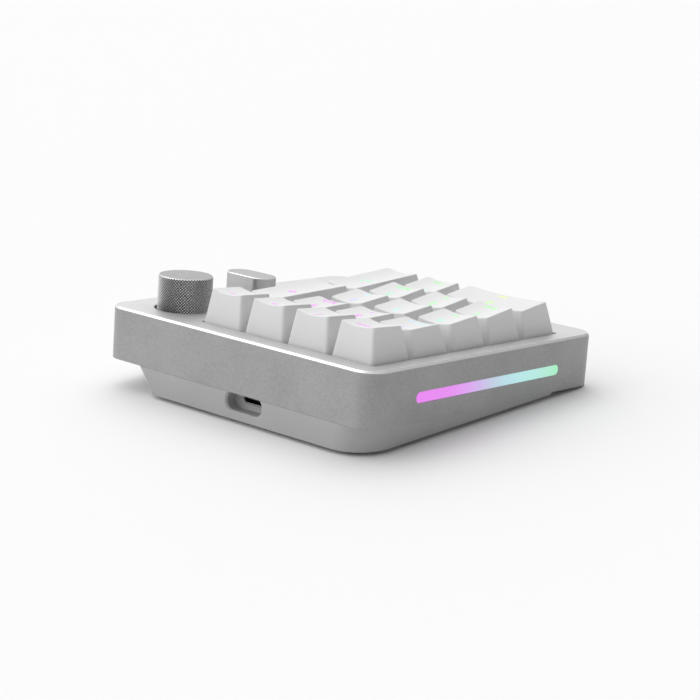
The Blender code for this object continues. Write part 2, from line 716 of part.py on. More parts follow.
def make_knob():
    place = (across(KNOB_X), back(KNOB_Y))
    bore = SHAFT_RADIUS + GAP
    add_turned("knob", place, [
        (0.0, KNOB_TOP - 0.1),
        (KNOB_RADIUS - KNOB_CHAMFER, KNOB_TOP),
        (KNOB_RADIUS, KNOB_TOP - KNOB_CHAMFER),
        (KNOB_RADIUS, -0.4),
        (KNOB_RADIUS - 0.5, KNOB_UNDERSIDE),
        (bore, KNOB_UNDERSIDE),
        (bore, KNOB_TOP - 2.5),
        (0.0, KNOB_TOP - 2.5),
    ], "knob_metal", 40)
    add_turned("encoder_shaft", place, [
        (0.0, KNOB_TOP - 2.8),
        (SHAFT_RADIUS, KNOB_TOP - 2.8),
        (SHAFT_RADIUS, SHAFT_END),
        (0.0, SHAFT_END),
    ], "socket_metal", 20)
    encoder = add_block("encoder_body", (place[0] - ENCODER_HALF, place[1] - ENCODER_HALF, BOARD_TOP + GAP),
                        (place[0] + ENCODER_HALF, place[1] + ENCODER_HALF, ENCODER_TOP), "dark_plastic")
    bush_top = KNOB_UNDERSIDE - 2 * GAP
    join(encoder, add_cylinder("encoder_bush", place, BUSH_RADIUS, ENCODER_TOP - 0.8, bush_top))
    cut(encoder, add_cylinder("encoder_bore", place, SHAFT_RADIUS + 0.25, SHAFT_END - 0.4, 0.0, segments=20))


# Slider

def make_slider():
    x = across(KNOB_X)
    track_rear = back(TRACK_REAR - TRACK_END)
    track_front = back(TRACK_REAR + TRACK_TRAVEL + TRACK_END)
    track = add_block("slider_track", (x - TRACK_HALF, track_front, BOARD_TOP + GAP),
                      (x + TRACK_HALF, track_rear, TRACK_TOP), "plate_steel")
    reach = LEVER_WIDTH / 2 + 0.8
    groove = LEVER_THICKNESS / 2 + 2 * GAP
    groove_front = back(TRACK_REAR + TRACK_TRAVEL + reach)
    cut(track, add_block("track_groove", (x - groove, groove_front, LEVER_END - 0.4),
                         (x + groove, back(TRACK_REAR - reach), TRACK_TOP + 1.2)))
    at = back(SLIDER_AT)
    half = LEVER_THICKNESS / 2
    add_block("slider_lever", (x - half, at - LEVER_WIDTH / 2, LEVER_END),
              (x + half, at + LEVER_WIDTH / 2, LEVER_TOP), "plate_steel", chamfer=0.15)
    cap = add_block("slider_cap", (x - SLIDER_LENGTH / 2, at - SLIDER_WIDTH / 2, 0.6),
                    (x + SLIDER_LENGTH / 2, at + SLIDER_WIDTH / 2, SLIDER_TOP), "knob_metal",
                    SLIDER_WIDTH * 0.495, 8, 0.5)
    cut(cap, add_block("lever_socket", (x - half - GAP, at - LEVER_WIDTH / 2 - GAP, -1.0),
                       (x + half + GAP, at + LEVER_WIDTH / 2 + GAP, LEVER_TOP + GAP)))


make_top_frame()
add_light_bars()
make_bottom_case()
add_feet()
add_screws()
make_socket()
make_plate_and_board()
add_keys()
make_knob()
make_slider()
bpy.context.view_layer.update()
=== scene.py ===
"""Looks of the numeric keypad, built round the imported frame.

Pieces are modelled in case axes: X to the user's right, Y to the rear, Z square to the top face, in
millimetres from the middle of the top face. They are set into the row frame as they are made, and every
mesh keeps its own millimetre coordinates in an attribute that the materials read.
"""
import json
import math

import bmesh
import bpy
from mathutils import Matrix, Vector


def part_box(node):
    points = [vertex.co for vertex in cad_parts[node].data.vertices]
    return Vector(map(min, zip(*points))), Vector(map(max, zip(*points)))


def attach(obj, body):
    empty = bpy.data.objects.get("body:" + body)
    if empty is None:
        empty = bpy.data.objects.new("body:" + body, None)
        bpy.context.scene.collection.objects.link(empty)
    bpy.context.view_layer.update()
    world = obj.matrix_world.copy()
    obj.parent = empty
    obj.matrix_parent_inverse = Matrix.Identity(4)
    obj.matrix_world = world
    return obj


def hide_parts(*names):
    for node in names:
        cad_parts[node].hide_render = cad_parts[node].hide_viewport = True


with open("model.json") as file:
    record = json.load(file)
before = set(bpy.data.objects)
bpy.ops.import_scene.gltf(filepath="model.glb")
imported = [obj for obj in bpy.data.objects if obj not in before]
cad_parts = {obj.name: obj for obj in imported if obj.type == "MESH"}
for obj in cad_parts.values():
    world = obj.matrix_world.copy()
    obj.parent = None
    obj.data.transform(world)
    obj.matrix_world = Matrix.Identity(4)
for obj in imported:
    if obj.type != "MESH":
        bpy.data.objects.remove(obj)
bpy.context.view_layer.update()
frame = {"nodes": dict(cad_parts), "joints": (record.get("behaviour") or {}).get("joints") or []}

MM = 0.001

# Sizes in millimetres that the frame's boxes don't tell
FRAME_CORNER = 7.5
FRAME_CHAMFER = 0.68
FRAME_WALL = 3.0
SLAB_UNDERSIDE = -7.7
FRAME_HEIGHT = 18.0
GAP = 0.3
PANEL_TOP = -15.5
PANEL_UNDERSIDE = -17.8
FLOOR = 2.2
WEDGE_TOP = -18.01
REAR_HEIGHT = 26.7
WEDGE_LEFT_INSET = 0.4
WEDGE_LEFT_TAPER = 1.5
WEDGE_RIGHT_INSET = 17.0
WEDGE_RIGHT_TAPER = 7.0
WEDGE_FRONT = 97.0
WEDGE_LEFT_CORNER = 13.0
WEDGE_RIGHT_CORNER = 2.0
WEDGE_FRONT_CORNER = 4.0
WEDGE_WALL = 2.6
NECK_INSET = 10.0
PITCH = 19.05
KEY_BASE_INSET = 0.45
KEY_TOP_INSET = 2.6
KEY_SKIRT = -2.0
KEY_WALL = 1.25
KEY_CROWN = 2.4
KEY_DISH = 0.9
OPENING_GAP = 0.35

# Places from the left and from the rear; the first screw goes through the wedge, the others through the panel
SCREWS = ((10.5, 5.9), (113.5, 6.1), (8.5, 109.5), (112.0, 109.5))
SCREW_NAMES = ("rear_left", "rear_right", "front_left", "front_right")
SCREW_HOLE_RADIUS = 1.6
POST_RADIUS = 2.6
POST_WELL_RADIUS = 2.9
HEAD_WELL_RADIUS = 2.7
HEAD_WELL_DEPTH = 1.3
FOOT_WELL_RADIUS = 5.3

# Openings in the top frame: edges are the small bevels round them
OPENING_CORNER = 1.0
OPENING_EDGE = 0.1
WELL_RADIUS = 10.1
WELL_FLOOR = -2.5
WELL_EDGE = 0.15
BUSH_HOLE_RADIUS = 4.2
ENCODER_POCKET_HALF = 7.0
ENCODER_POCKET_TOP = -5.6
SLOT_HALF_WIDTH = 1.3
SLOT_CORNER = 1.25
SLOT_EDGE = 0.2
SLOT_END_INSET = 4.4
TRACK_POCKET_HALF = 5.2
TRACK_POCKET_TOP = -4.9

# Recess in the rear face, and the boss that holds the socket in it
RECESS_WIDTH = 15.5
RECESS_HEIGHT = 6.1
RECESS_MIDDLE = -20.65
SOCKET_WIDTH = 9.0
SOCKET_HEIGHT = 3.3
SOCKET_GAP = 0.12
BOSS_HALF_WIDTH = 11.0
BOSS_UNDERSIDE = -25.0
BOSS_THICKNESS = 1.8

# Sculpted rows, rear to front: top edge height and inset at the rear, then at the front
ROWS = (
    (11.4, 2.1, 10.7, 3.9),
    (8.9, 1.4, 9.3, 4.2),
    (8.6, 1.4, 10.1, 4.1),
    (8.7, 1.3, 10.8, 4.5),
    (9.0, 1.1, 11.0, 4.6),
)

# Name, columns wide, first row, rows deep, main legend, lower legend
KEYS = (
    ("num_lock", 1, 0, 1, "Num", ""),
    ("divide", 1, 0, 1, "/", ""),
    ("multiply", 1, 0, 1, "*", ""),
    ("subtract", 1, 0, 1, "minus", ""),
    ("7", 1, 1, 1, "7", "Home"),
    ("8", 1, 1, 1, "8", "arrow_up"),
    ("9", 1, 1, 1, "9", "PgUp"),
    ("add", 1, 1, 2, "plus", ""),
    ("4", 1, 2, 1, "4", "arrow_left"),
    ("5", 1, 2, 1, "5", ""),
    ("6", 1, 2, 1, "6", "arrow_right"),
    ("1", 1, 3, 1, "1", "End"),
    ("2", 1, 3, 1, "2", "arrow_down"),
    ("3", 1, 3, 1, "3", "PgDn"),
    ("enter", 1, 3, 2, "arrow_return", ""),
    ("0", 2, 4, 1, "0", "Ins"),
    ("point", 1, 4, 1, ".", "Del"),
)


def new_object(name, data):
    item = bpy.data.objects.new(name, data)
    bpy.context.scene.collection.objects.link(item)
    return item


# Case axes, from the frame

PRESS = Vector(next(joint["axis"] for joint in frame["joints"] if joint["name"].startswith("key_")))
TILT = math.asin(PRESS.normalized().y)
TURN = Matrix.Rotation(TILT, 4, "X")


def turned_box(node, turn):
    points = [turn @ vert.co for vert in frame["nodes"][node].data.vertices]
    low = Vector([min(point[axis] for point in points) for axis in range(3)])
    high = Vector([max(point[axis] for point in points) for axis in range(3)])
    return low, high


def case_axes():
    low, high = turned_box("top_frame", TURN.inverted())
    middle = Vector(((low.x + high.x) / 2, (low.y + high.y) / 2, high.z))
    return TURN @ Matrix.Translation(middle), (high.x - low.x) / MM, (high.y - low.y) / MM


CASE, WIDTH, DEPTH = case_axes()


def case_box(node):
    """Lowest and highest corner of a CAD node in case axes, in millimetres."""
    low, high = turned_box(node, CASE.inverted())
    return low / MM, high / MM


def case_middle(node):
    low, high = case_box(node)
    return (low + high) / 2


def across(distance):
    return distance - WIDTH / 2


def back(distance):
    return DEPTH / 2 - distance


def base_height(y):
    """Case Z of the level underside at a case Y."""
    return -REAR_HEIGHT + (DEPTH / 2 - y) * math.tan(TILT)


# Camera: the photograph's view, held by the rear left top corner of the frame

CAMERA_YAW = 41.942
CAMERA_DIP = 15.614
CAMERA_ROLL = 0.847
CAMERA_SENSOR = 36.0
CAMERA_LENS = 98.518371

# From the camera to that corner, in millimetres
CORNER_ASIDE = 6.633
CORNER_ABOVE = -7.193
CORNER_AHEAD = 571.284


def make_camera():
    yaw = math.radians(CAMERA_YAW)
    dip = math.radians(CAMERA_DIP)
    roll = math.radians(CAMERA_ROLL)
    ahead = Vector((math.sin(yaw) * math.cos(dip), -math.cos(yaw) * math.cos(dip), -math.sin(dip)))
    right = ahead.cross(Vector((0, 0, 1))).normalized()
    above = right.cross(ahead)
    side = math.cos(roll) * right + math.sin(roll) * above
    top = math.cos(roll) * above - math.sin(roll) * right
    corner = CASE @ (Vector((-WIDTH / 2, DEPTH / 2, 0.0)) * MM)
    spot = corner - (CORNER_ASIDE * side + CORNER_ABOVE * top + CORNER_AHEAD * ahead) * MM
    data = bpy.data.cameras.new("camera")
    data.sensor_width = CAMERA_SENSOR
    data.lens = CAMERA_LENS
    data.clip_start = 0.01
    data.clip_end = 100.0
    camera = new_object("camera", data)
    turn = Matrix((side, top, -ahead)).transposed().to_4x4()
    camera.matrix_world = Matrix.Translation(spot) @ turn
    bpy.context.scene.camera = camera


make_camera()


# Outlines and skins

def outline(left, right, front, rear, radii, steps=12, along_x=1, along_y=1):
    """Anticlockwise outline of a box with round corners.

    Radii run rear right, rear left, front left, front right, or are one number; along_x and along_y are the
    counts of cuts along its straight sides.
    """
    if not isinstance(radii, tuple):
        radii = (radii,) * 4
    corners = ((right, rear, -1, -1), (left, rear, 1, -1), (left, front, 1, 1), (right, front, -1, 1))
    arcs = []
    for number, ((x, y, to_x, to_y), radius) in enumerate(zip(corners, radii)):
        arc = []
        for step in range(steps + 1):
            angle = math.pi / 2 * (number + step / steps)
            arc.append((x + radius * (to_x + math.cos(angle)), y + radius * (to_y + math.sin(angle))))
        arcs.append(arc)
    points = []
    for number, arc in enumerate(arcs):
        points += arc
        after = arcs[(number + 1) % 4][0]
        cuts = along_y if number % 2 else along_x
        for cut in range(1, cuts):
            share = cut / cuts
            points.append(tuple(a + (b - a) * share for a, b in zip(arc[-1], after)))
    return points


def circle(radius, count, middle=(0.0, 0.0)):
    turns = [2 * math.pi * step / count for step in range(count)]
    return [(middle[0] + radius * math.cos(turn), middle[1] + radius * math.sin(turn)) for turn in turns]


def level(points, height):
    return [(x, y, height) for x, y in points]


def band(low, high, count):
    """Faces between two rings of equal count, each named by its first point."""
    pairs = [(step, (step + 1) % count) for step in range(count)]
    return [(low + step, low + after, high + after, high + step) for step, after in pairs]


def skin(rings, caps=True):
    """Points and faces of a skin over rings of equal count, closed at its ends by caps."""
    count = len(rings[0])
    last = (len(rings) - 1) * count
    points = [point for ring in rings for point in ring]
    faces = [face for low in range(0, last, count) for face in band(low, low + count, count)]
    if caps:
        faces.append(tuple(reversed(range(count))))
        faces.append(tuple(range(last, last + count)))
    return points, faces


def turned(profile, count, middle=(0.0, 0.0)):
    """Points and faces of a turned solid; the (radius, height) profile starts and ends on the axis."""
    rings = [level(circle(radius, count, middle), height) for radius, height in profile[1:-1]]
    points, faces = skin(rings, caps=False)
    first = len(points)
    points += [(*middle, profile[0][1]), (*middle, profile[-1][1])]
    last_ring = (len(rings) - 1) * count
    for step in range(count):
        after = (step + 1) % count
        faces.append((first, after, step))
        faces.append((first + 1, last_ring + step, last_ring + after))
    return points, faces


def as_mesh(name, points, faces):
    mesh = bpy.data.meshes.new(name)
    mesh.from_pydata([tuple(point) for point in points], [], faces)
    bm = bmesh.new()
    bm.from_mesh(mesh)
    bmesh.ops.recalc_face_normals(bm, faces=bm.faces)
    bm.to_mesh(mesh)
    bm.free()
    return mesh


def merged(name, shapes):
    """One mesh holding several closed shapes."""
    points = []
    faces = []
    for shape_points, shape_faces in shapes:
        start = len(points)
        points += shape_points
        faces += [tuple(start + index for index in face) for face in shape_faces]
    return as_mesh(name, points, faces)


def box_shape(low, high, corner=0.0, steps=4):
    """A block between two corners; round upright edges if corner is given."""
    if corner:
        ring = outline(low[0], high[0], low[1], high[1], corner, steps)
    else:
        ring = [(high[0], high[1]), (low[0], high[1]), (low[0], low[1]), (high[0], low[1])]
    return skin([level(ring, low[2]), level(ring, high[2])])


def post_shape(place, radius, low, high, count=32):
    ring = circle(radius, count, place)
    return skin([level(ring, low), level(ring, high)])


def edged_cutter(ring, edge, low):
    """A cutter that leaves a bevel at the frame's top; ring gives its outline from a growth and a height."""
    return skin([ring(0.0, low), ring(0.0, -edge), ring(edge, 0.0), ring(edge + 1, 1.0)])


def temp(name, shape):
    """A loose object in millimetres, for cutting and joining."""
    return new_object(name, as_mesh(name, *shape))


def final_mesh(item):
    """An object's mesh with its modifiers applied, or a font's outline as a mesh."""
    bpy.context.view_layer.update()
    return bpy.data.meshes.new_from_object(item.evaluated_get(bpy.context.evaluated_depsgraph_get()))


def apply_steps(target, steps):
    """Cuts ("DIFFERENCE"), joins ("UNION") or keeps ("INTERSECT") with each shape in turn."""
    others = []
    for operation, shape in steps:
        other = shape if isinstance(shape, bpy.types.Object) else temp("cutter", shape)
        others.append(other)
        step = target.modifiers.new("step", "BOOLEAN")
        step.operation = operation
        step.object = other
        step.solver = "EXACT"
    result = final_mesh(target)
    target.modifiers.clear()
    target.data = result
    for other in others:
        bpy.data.objects.remove(other)
    return target


def take_mesh(item):
    mesh = item.data
    bpy.data.objects.remove(item)
    return mesh


# Materials

def feed(node, inputs):
    """Links a node's inputs to sockets, or sets them."""
    for key, value in inputs.items():
        if isinstance(value, bpy.types.NodeSocket):
            node.id_data.links.new(value, node.inputs[key])
        else:
            node.inputs[key].default_value = value


def add(tree, kind, inputs=None, **settings):
    made = tree.nodes.new("ShaderNode" + kind)
    for key, value in settings.items():
        setattr(made, key, value)
    feed(made, inputs or {})
    return made


def coordinates(tree, stretch=(1.0, 1.0, 1.0), cad=False):
    """Millimetre coordinates: a piece's own, or the row frame's on a CAD node."""
    if cad:
        source = add(tree, "TexCoord").outputs["Object"]
        stretch = tuple(share / MM for share in stretch)
    else:
        source = add(tree, "Attribute", attribute_name="local").outputs["Vector"]
    return add(tree, "Mapping", {"Vector": source, "Scale": stretch}).outputs["Vector"]


def noise(tree, vector, scale, detail=3.0, rough=0.5):
    made = add(tree, "TexNoise", {"Vector": vector, "Scale": scale, "Detail": detail, "Roughness": rough})
    return made.outputs[0]


def vary(tree, value, low, high):
    """Stretches a noise's usual span, 0.3 to 0.7, from low to high."""
    return remap(tree, value, 0.3, 0.7, low, high)


def remap(tree, value, low, high, to_low, to_high):
    settings = {"Value": value, "From Min": low, "From Max": high, "To Min": to_low, "To Max": to_high}
    return add(tree, "MapRange", settings).outputs[0]


def math_node(tree, operation, first, second=0.0):
    return add(tree, "Math", {0: first, 1: second}, operation=operation).outputs[0]


def mix_colours(tree, share, first, second):
    """A blend of two colours; the node's sockets 6, 7 and 2 are its colour ones."""
    return add(tree, "Mix", {0: share, 6: first, 7: second}, data_type="RGBA").outputs[2]


def relief(tree, shader, height, distance):
    """Bumps a distance in millimetres high."""
    bump = add(tree, "Bump", {"Strength": 1.0, "Distance": distance * MM, "Height": height})
    feed(shader, {"Normal": bump.outputs[0]})


def axis_distance(tree):
    """Millimetres from a piece's own upright axis."""
    place = add(tree, "Attribute", attribute_name="local").outputs["Vector"]
    parts = add(tree, "SeparateXYZ", {0: place})
    squares = [math_node(tree, "MULTIPLY", parts.outputs[axis], parts.outputs[axis]) for axis in range(2)]
    return math_node(tree, "SQRT", math_node(tree, "ADD", *squares))


def shade(colour, factor):
    return tuple(min(1.0, part * factor) for part in colour) + (1.0,)


def principled(name):
    """A new material, its node tree and its shader."""
    material = bpy.data.materials.new(name)
    material.use_nodes = True
    return material, material.node_tree, material.node_tree.nodes["Principled BSDF"]


def finish(name, colour, roughness, metallic=0.0, grain=4.0, bump=0.01, contrast=0.05, spread=0.05,
           stretch=(1.0, 1.0, 1.0), cad=False):
    """A material whose colour, roughness and height vary with a fine grain and broad blotches."""
    material, tree, shader = principled(name)
    fine = noise(tree, coordinates(tree, stretch, cad), grain, 2.0, 0.6)
    broad = noise(tree, coordinates(tree, cad=cad), BLOTCH, 4.0)
    parts = {0: fine, 1: 1 - BLOTCH_SHARE, 2: math_node(tree, "MULTIPLY", broad, BLOTCH_SHARE)}
    blend = add(tree, "Math", parts, operation="MULTIPLY_ADD").outputs[0]
    share = vary(tree, blend, 0.0, 1.0)
    paint = mix_colours(tree, share, shade(colour, 1 - contrast), shade(colour, 1 + contrast))
    rough = vary(tree, blend, roughness + spread, roughness - spread)
    feed(shader, {"Metallic": metallic, "Base Color": paint, "Roughness": rough})
    if bump:
        relief(tree, shader, fine, bump)
    return material


def shade_knurl_grooves(material):
    """Paints shade into the grooves between the knurls, darker the deeper they are."""
    tree = material.node_tree
    shader = tree.nodes["Principled BSDF"]
    paint = shader.inputs["Base Color"].links[0].from_socket
    depth = remap(tree, axis_distance(tree), KNOB_RADIUS - KNURL_DEPTH, KNOB_RADIUS, 1.0, 0.0)
    feed(shader, {"Base Color": mix_colours(tree, depth, paint, KNURL_GROOVE_SHADE)})


def spin_rings(material, density):
    """Fine rings round the piece's own upright axis."""
    tree = material.node_tree
    shader = tree.nodes["Principled BSDF"]
    settings = {"W": axis_distance(tree), "Scale": density, "Detail": 3.0}
    lines = add(tree, "TexNoise", settings, noise_dimensions="1D").outputs[0]
    relief(tree, shader, lines, 0.006)
    feed(shader, {"Roughness": vary(tree, lines, 0.24, 0.42)})


BLOTCH = 0.05
BLOTCH_SHARE = 0.4
# Painted shade for the bottoms of the knurl grooves
KNURL_GROOVE_SHADE = (0.045, 0.045, 0.047, 1.0)
WHITE = (1.0, 1.0, 1.0, 1.0)
UNLIT = (0.02, 0.02, 0.02, 1.0)

# Colours under the keys by millimetres from the rear, and along a light bar by its share from the rear
GLOW_STOPS = (
    (20.0, (0.93, 0.16, 0.97)),
    (29.0, (0.90, 0.22, 0.98)),
    (34.0, (0.60, 0.58, 0.98)),
    (41.0, (0.45, 0.85, 1.00)),
    (52.0, (0.36, 0.93, 0.68)),
    (61.0, (0.24, 0.98, 0.27)),
    (80.0, (0.24, 0.98, 0.22)),
    (93.0, (0.82, 1.00, 0.10)),
)
BAR_STOPS = (
    (0.00, (0.87, 0.235, 0.93)),
    (0.22, (0.84, 0.27, 0.93)),
    (0.33, (0.78, 0.36, 0.93)),
    (0.42, (0.66, 0.48, 0.87)),
    (0.51, (0.56, 0.63, 0.80)),
    (0.60, (0.50, 0.76, 0.84)),
    (0.72, (0.49, 0.84, 0.84)),
    (0.83, (0.48, 0.85, 0.78)),
    (0.92, (0.46, 0.86, 0.68)),
    (1.00, (0.38, 0.90, 0.55)),
)


GLOW_SLANT = 0.45


def glow_colour(from_left, from_rear):
    """Light colour under a place on the keys; its bands run aslant."""
    along = max(GLOW_STOPS[0][0], from_rear - GLOW_SLANT * (from_left - PITCH))
    for before, stop in zip(GLOW_STOPS, GLOW_STOPS[1:]):
        if along <= stop[0]:
            share = (along - before[0]) / (stop[0] - before[0])
            return tuple(a + (b - a) * share for a, b in zip(before[1], stop[1]))
    return GLOW_STOPS[-1][1]


def light_up(name, colour, unevenness, white, unlit, strength, roughness):
    """A lit clear plastic: colour and unevenness are functions of its node tree."""
    material, tree, shader = principled(name)
    uneven = unevenness(tree)
    lit = mix_colours(tree, vary(tree, uneven, 0.0, white), colour(tree), WHITE)
    rough = vary(tree, uneven, roughness, roughness + 0.15)
    paint = mix_colours(tree, unlit, lit, UNLIT)
    feed(shader, {"Base Color": paint, "Roughness": rough})
    feed(shader, {"Emission Color": lit, "Emission Strength": strength})
    return material, tree, shader, uneven


def legend_material(name):
    """The legends' clear plastic, lit in the colour that its mesh carries."""
    return light_up(name, lambda tree: add(tree, "Attribute", attribute_name="glow").outputs["Color"],
                    lambda tree: noise(tree, coordinates(tree), 1.2, 2.0), 0.04, 0.93, 0.88, 0.4)[0]


def bar_colour(tree):
    """The light bar's colours, from its rear end to its front end."""
    half = (BAR_FRONT - BAR_REAR) / 2
    parts = add(tree, "SeparateXYZ", {0: coordinates(tree)})
    ramp = add(tree, "ValToRGB", {0: remap(tree, parts.outputs[1], half, -half, 0.0, 1.0)})
    stops = ramp.color_ramp.elements
    while len(stops) < len(BAR_STOPS):
        stops.new(0.5)
    for stop, (position, _) in zip(stops, BAR_STOPS):
        stop.position = position
    for stop, (_, colour) in zip(stops, BAR_STOPS):
        stop.color = (*colour, 1.0)
    return ramp.outputs[0]


def light_bar_material(name):
    """A frosted diffuser, lit from behind in colours that change along it."""
    material, tree, shader, frost = light_up(
        name, bar_colour, lambda tree: noise(tree, coordinates(tree), 3.0, 3.0), 0.03, 0.95, 0.9, 0.35)
    feed(shader, {"Specular IOR Level": 0.2})
    relief(tree, shader, frost, 0.004)
    return material


def board_material(name):
    """White solder mask with copper traces showing through as a faint relief."""
    material = finish(name, (0.62, 0.64, 0.62), 0.35, cad=True, grain=2.0, bump=0.004)
    tree = material.node_tree
    shader = tree.nodes["Principled BSDF"]
    paint = shader.inputs["Base Color"].links[0].from_socket
    settings = {"Vector": coordinates(tree, (0.5, 0.2, 0.2), True), "Scale": 1.0, "Randomness": 0.9}
    cells = add(tree, "TexVoronoi", settings, distance="CHEBYCHEV", feature="F1")
    trace = remap(tree, cells.outputs["Distance"], 0.32, 0.36, 0.0, 1.0)
    feed(shader, {"Base Color": mix_colours(tree, trace, paint, (0.50, 0.53, 0.50, 1.0))})
    return material


# Finished pieces

def place_piece(name, mesh, body, nodes, materials, origin=(0.0, 0.0, 0.0), pick=None,
                on_level=False, sharp=30.0, weighted=False, glow=None):
    local = mesh.attributes.new("local", "FLOAT_VECTOR", "POINT")
    local.data.foreach_set("vector", [part for vert in mesh.vertices for part in vert.co])
    if glow:
        colours = mesh.attributes.new("glow", "FLOAT_COLOR", "POINT")
        colours.data.foreach_set("color", [part for vert in mesh.vertices for part in (*glow(vert.co), 1.0)])
    for material in materials:
        mesh.materials.append(material)
    if pick:
        for polygon in mesh.polygons:
            polygon.material_index = pick(polygon.center, polygon.normal)
    base = Matrix.Identity(4) if on_level else CASE
    mesh.transform(base @ Matrix.Translation(Vector(origin) * MM) @ Matrix.Scale(MM, 4))
    mesh.shade_smooth()
    mesh.set_sharp_from_angle(angle=math.radians(sharp))
    piece = new_object(name, mesh)
    if weighted:
        even = piece.modifiers.new("even_shading", "WEIGHTED_NORMAL")
        even.keep_sharp = True
        even.weight = 50
    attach(piece, body)
    if nodes:
        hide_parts(*nodes)
    return piece


# Numbers that several pieces share

KNOB_LOW, KNOB_HIGH = case_box("knob")
KNOB_PLACE = case_middle("knob").xy
KNOB_RADIUS = (KNOB_HIGH.x - KNOB_LOW.x) / 2
KNURL_DEPTH = 0.36
BAR_LOW, BAR_HIGH = case_box("light_bar_left")
BAR_REAR = DEPTH / 2 - BAR_HIGH.y - GAP
BAR_FRONT = DEPTH / 2 - BAR_LOW.y + GAP
BAR_MIDDLE = case_middle("light_bar_left").z
BAR_HEIGHT = 3.6

BLASTED = finish("frame_blasted", (0.355, 0.355, 0.357), 0.48, 0.3, grain=2.0, bump=0.03, contrast=0.15,
                 spread=0.07)
# The top face gets a much lighter copy of the frame's blasted finish: painted light on the top, not a
# different finish
FRAME_TOP_PAINTED_LIGHT = finish("frame_top_painted_light", (0.58, 0.58, 0.582), 0.44, 0.35, grain=2.0, bump=0.02,
                     contrast=0.12, spread=0.07)
POLISHED = finish("chamfer_polished", (0.93, 0.93, 0.935), 0.24, 1.0, grain=1.2, bump=0.0015, contrast=0.03,
                  stretch=(1.0, 1.0, 9.0))
# A brighter, more metallic copy of the case coat for the rounded rear right corner only: a painted highlight
# along that edge
CASE_CORNER_PAINTED_HIGHLIGHT = finish("case_corner_painted_highlight", (0.72, 0.72, 0.722), 0.3, 0.8, grain=5.0, bump=0.004)
CASE_COAT = finish("case_coat", (0.405, 0.405, 0.407), 0.5, 0.2, grain=6.0, bump=0.012, contrast=0.07,
                   spread=0.06)
KEY_PLASTIC = finish("key_plastic", (0.77, 0.77, 0.775), 0.5, grain=7.0, bump=0.008, contrast=0.03,
                     spread=0.07)
LEGEND = legend_material("legend_light")
BAR_LIGHT = light_bar_material("bar_light")
KNURLED = finish("knob_knurled", (0.97, 0.97, 0.975), 0.25, 1.0, grain=5.0, bump=0.006, contrast=0.08)
shade_knurl_grooves(KNURLED)
SPUN = finish("knob_spun", (0.24, 0.24, 0.242), 0.34, 1.0, grain=3.0, bump=0.0)
spin_rings(SPUN, 9.0)
BRUSHED = finish("slider_brushed", (0.48, 0.48, 0.483), 0.36, 1.0, grain=2.5, contrast=0.12, spread=0.1,
                 stretch=(0.12, 0.12, 5.0))
BRUSHED_TOP = finish("slider_top", (0.31, 0.31, 0.312), 0.36, 1.0, grain=2.5, bump=0.006, contrast=0.08,
                     spread=0.08, stretch=(0.1, 6.0, 1.0))
SOCKET = finish("socket_steel", (0.36, 0.36, 0.37), 0.32, 1.0, grain=3.0, bump=0.003, contrast=0.08)
DARK = finish("dark_plastic", (0.02, 0.02, 0.021), 0.45, grain=5.0, bump=0.006, contrast=0.2)
GOLD = finish("contact_gold", (0.83, 0.60, 0.24), 0.25, 1.0, bump=0.002, contrast=0.06)
RUBBER = finish("foot_rubber", (0.035, 0.035, 0.036), 0.8, grain=5.0, bump=0.03, contrast=0.25, spread=0.08)
STEEL = finish("screw_steel", (0.36, 0.36, 0.37), 0.35, 1.0, bump=0.004, contrast=0.1)


# Top frame

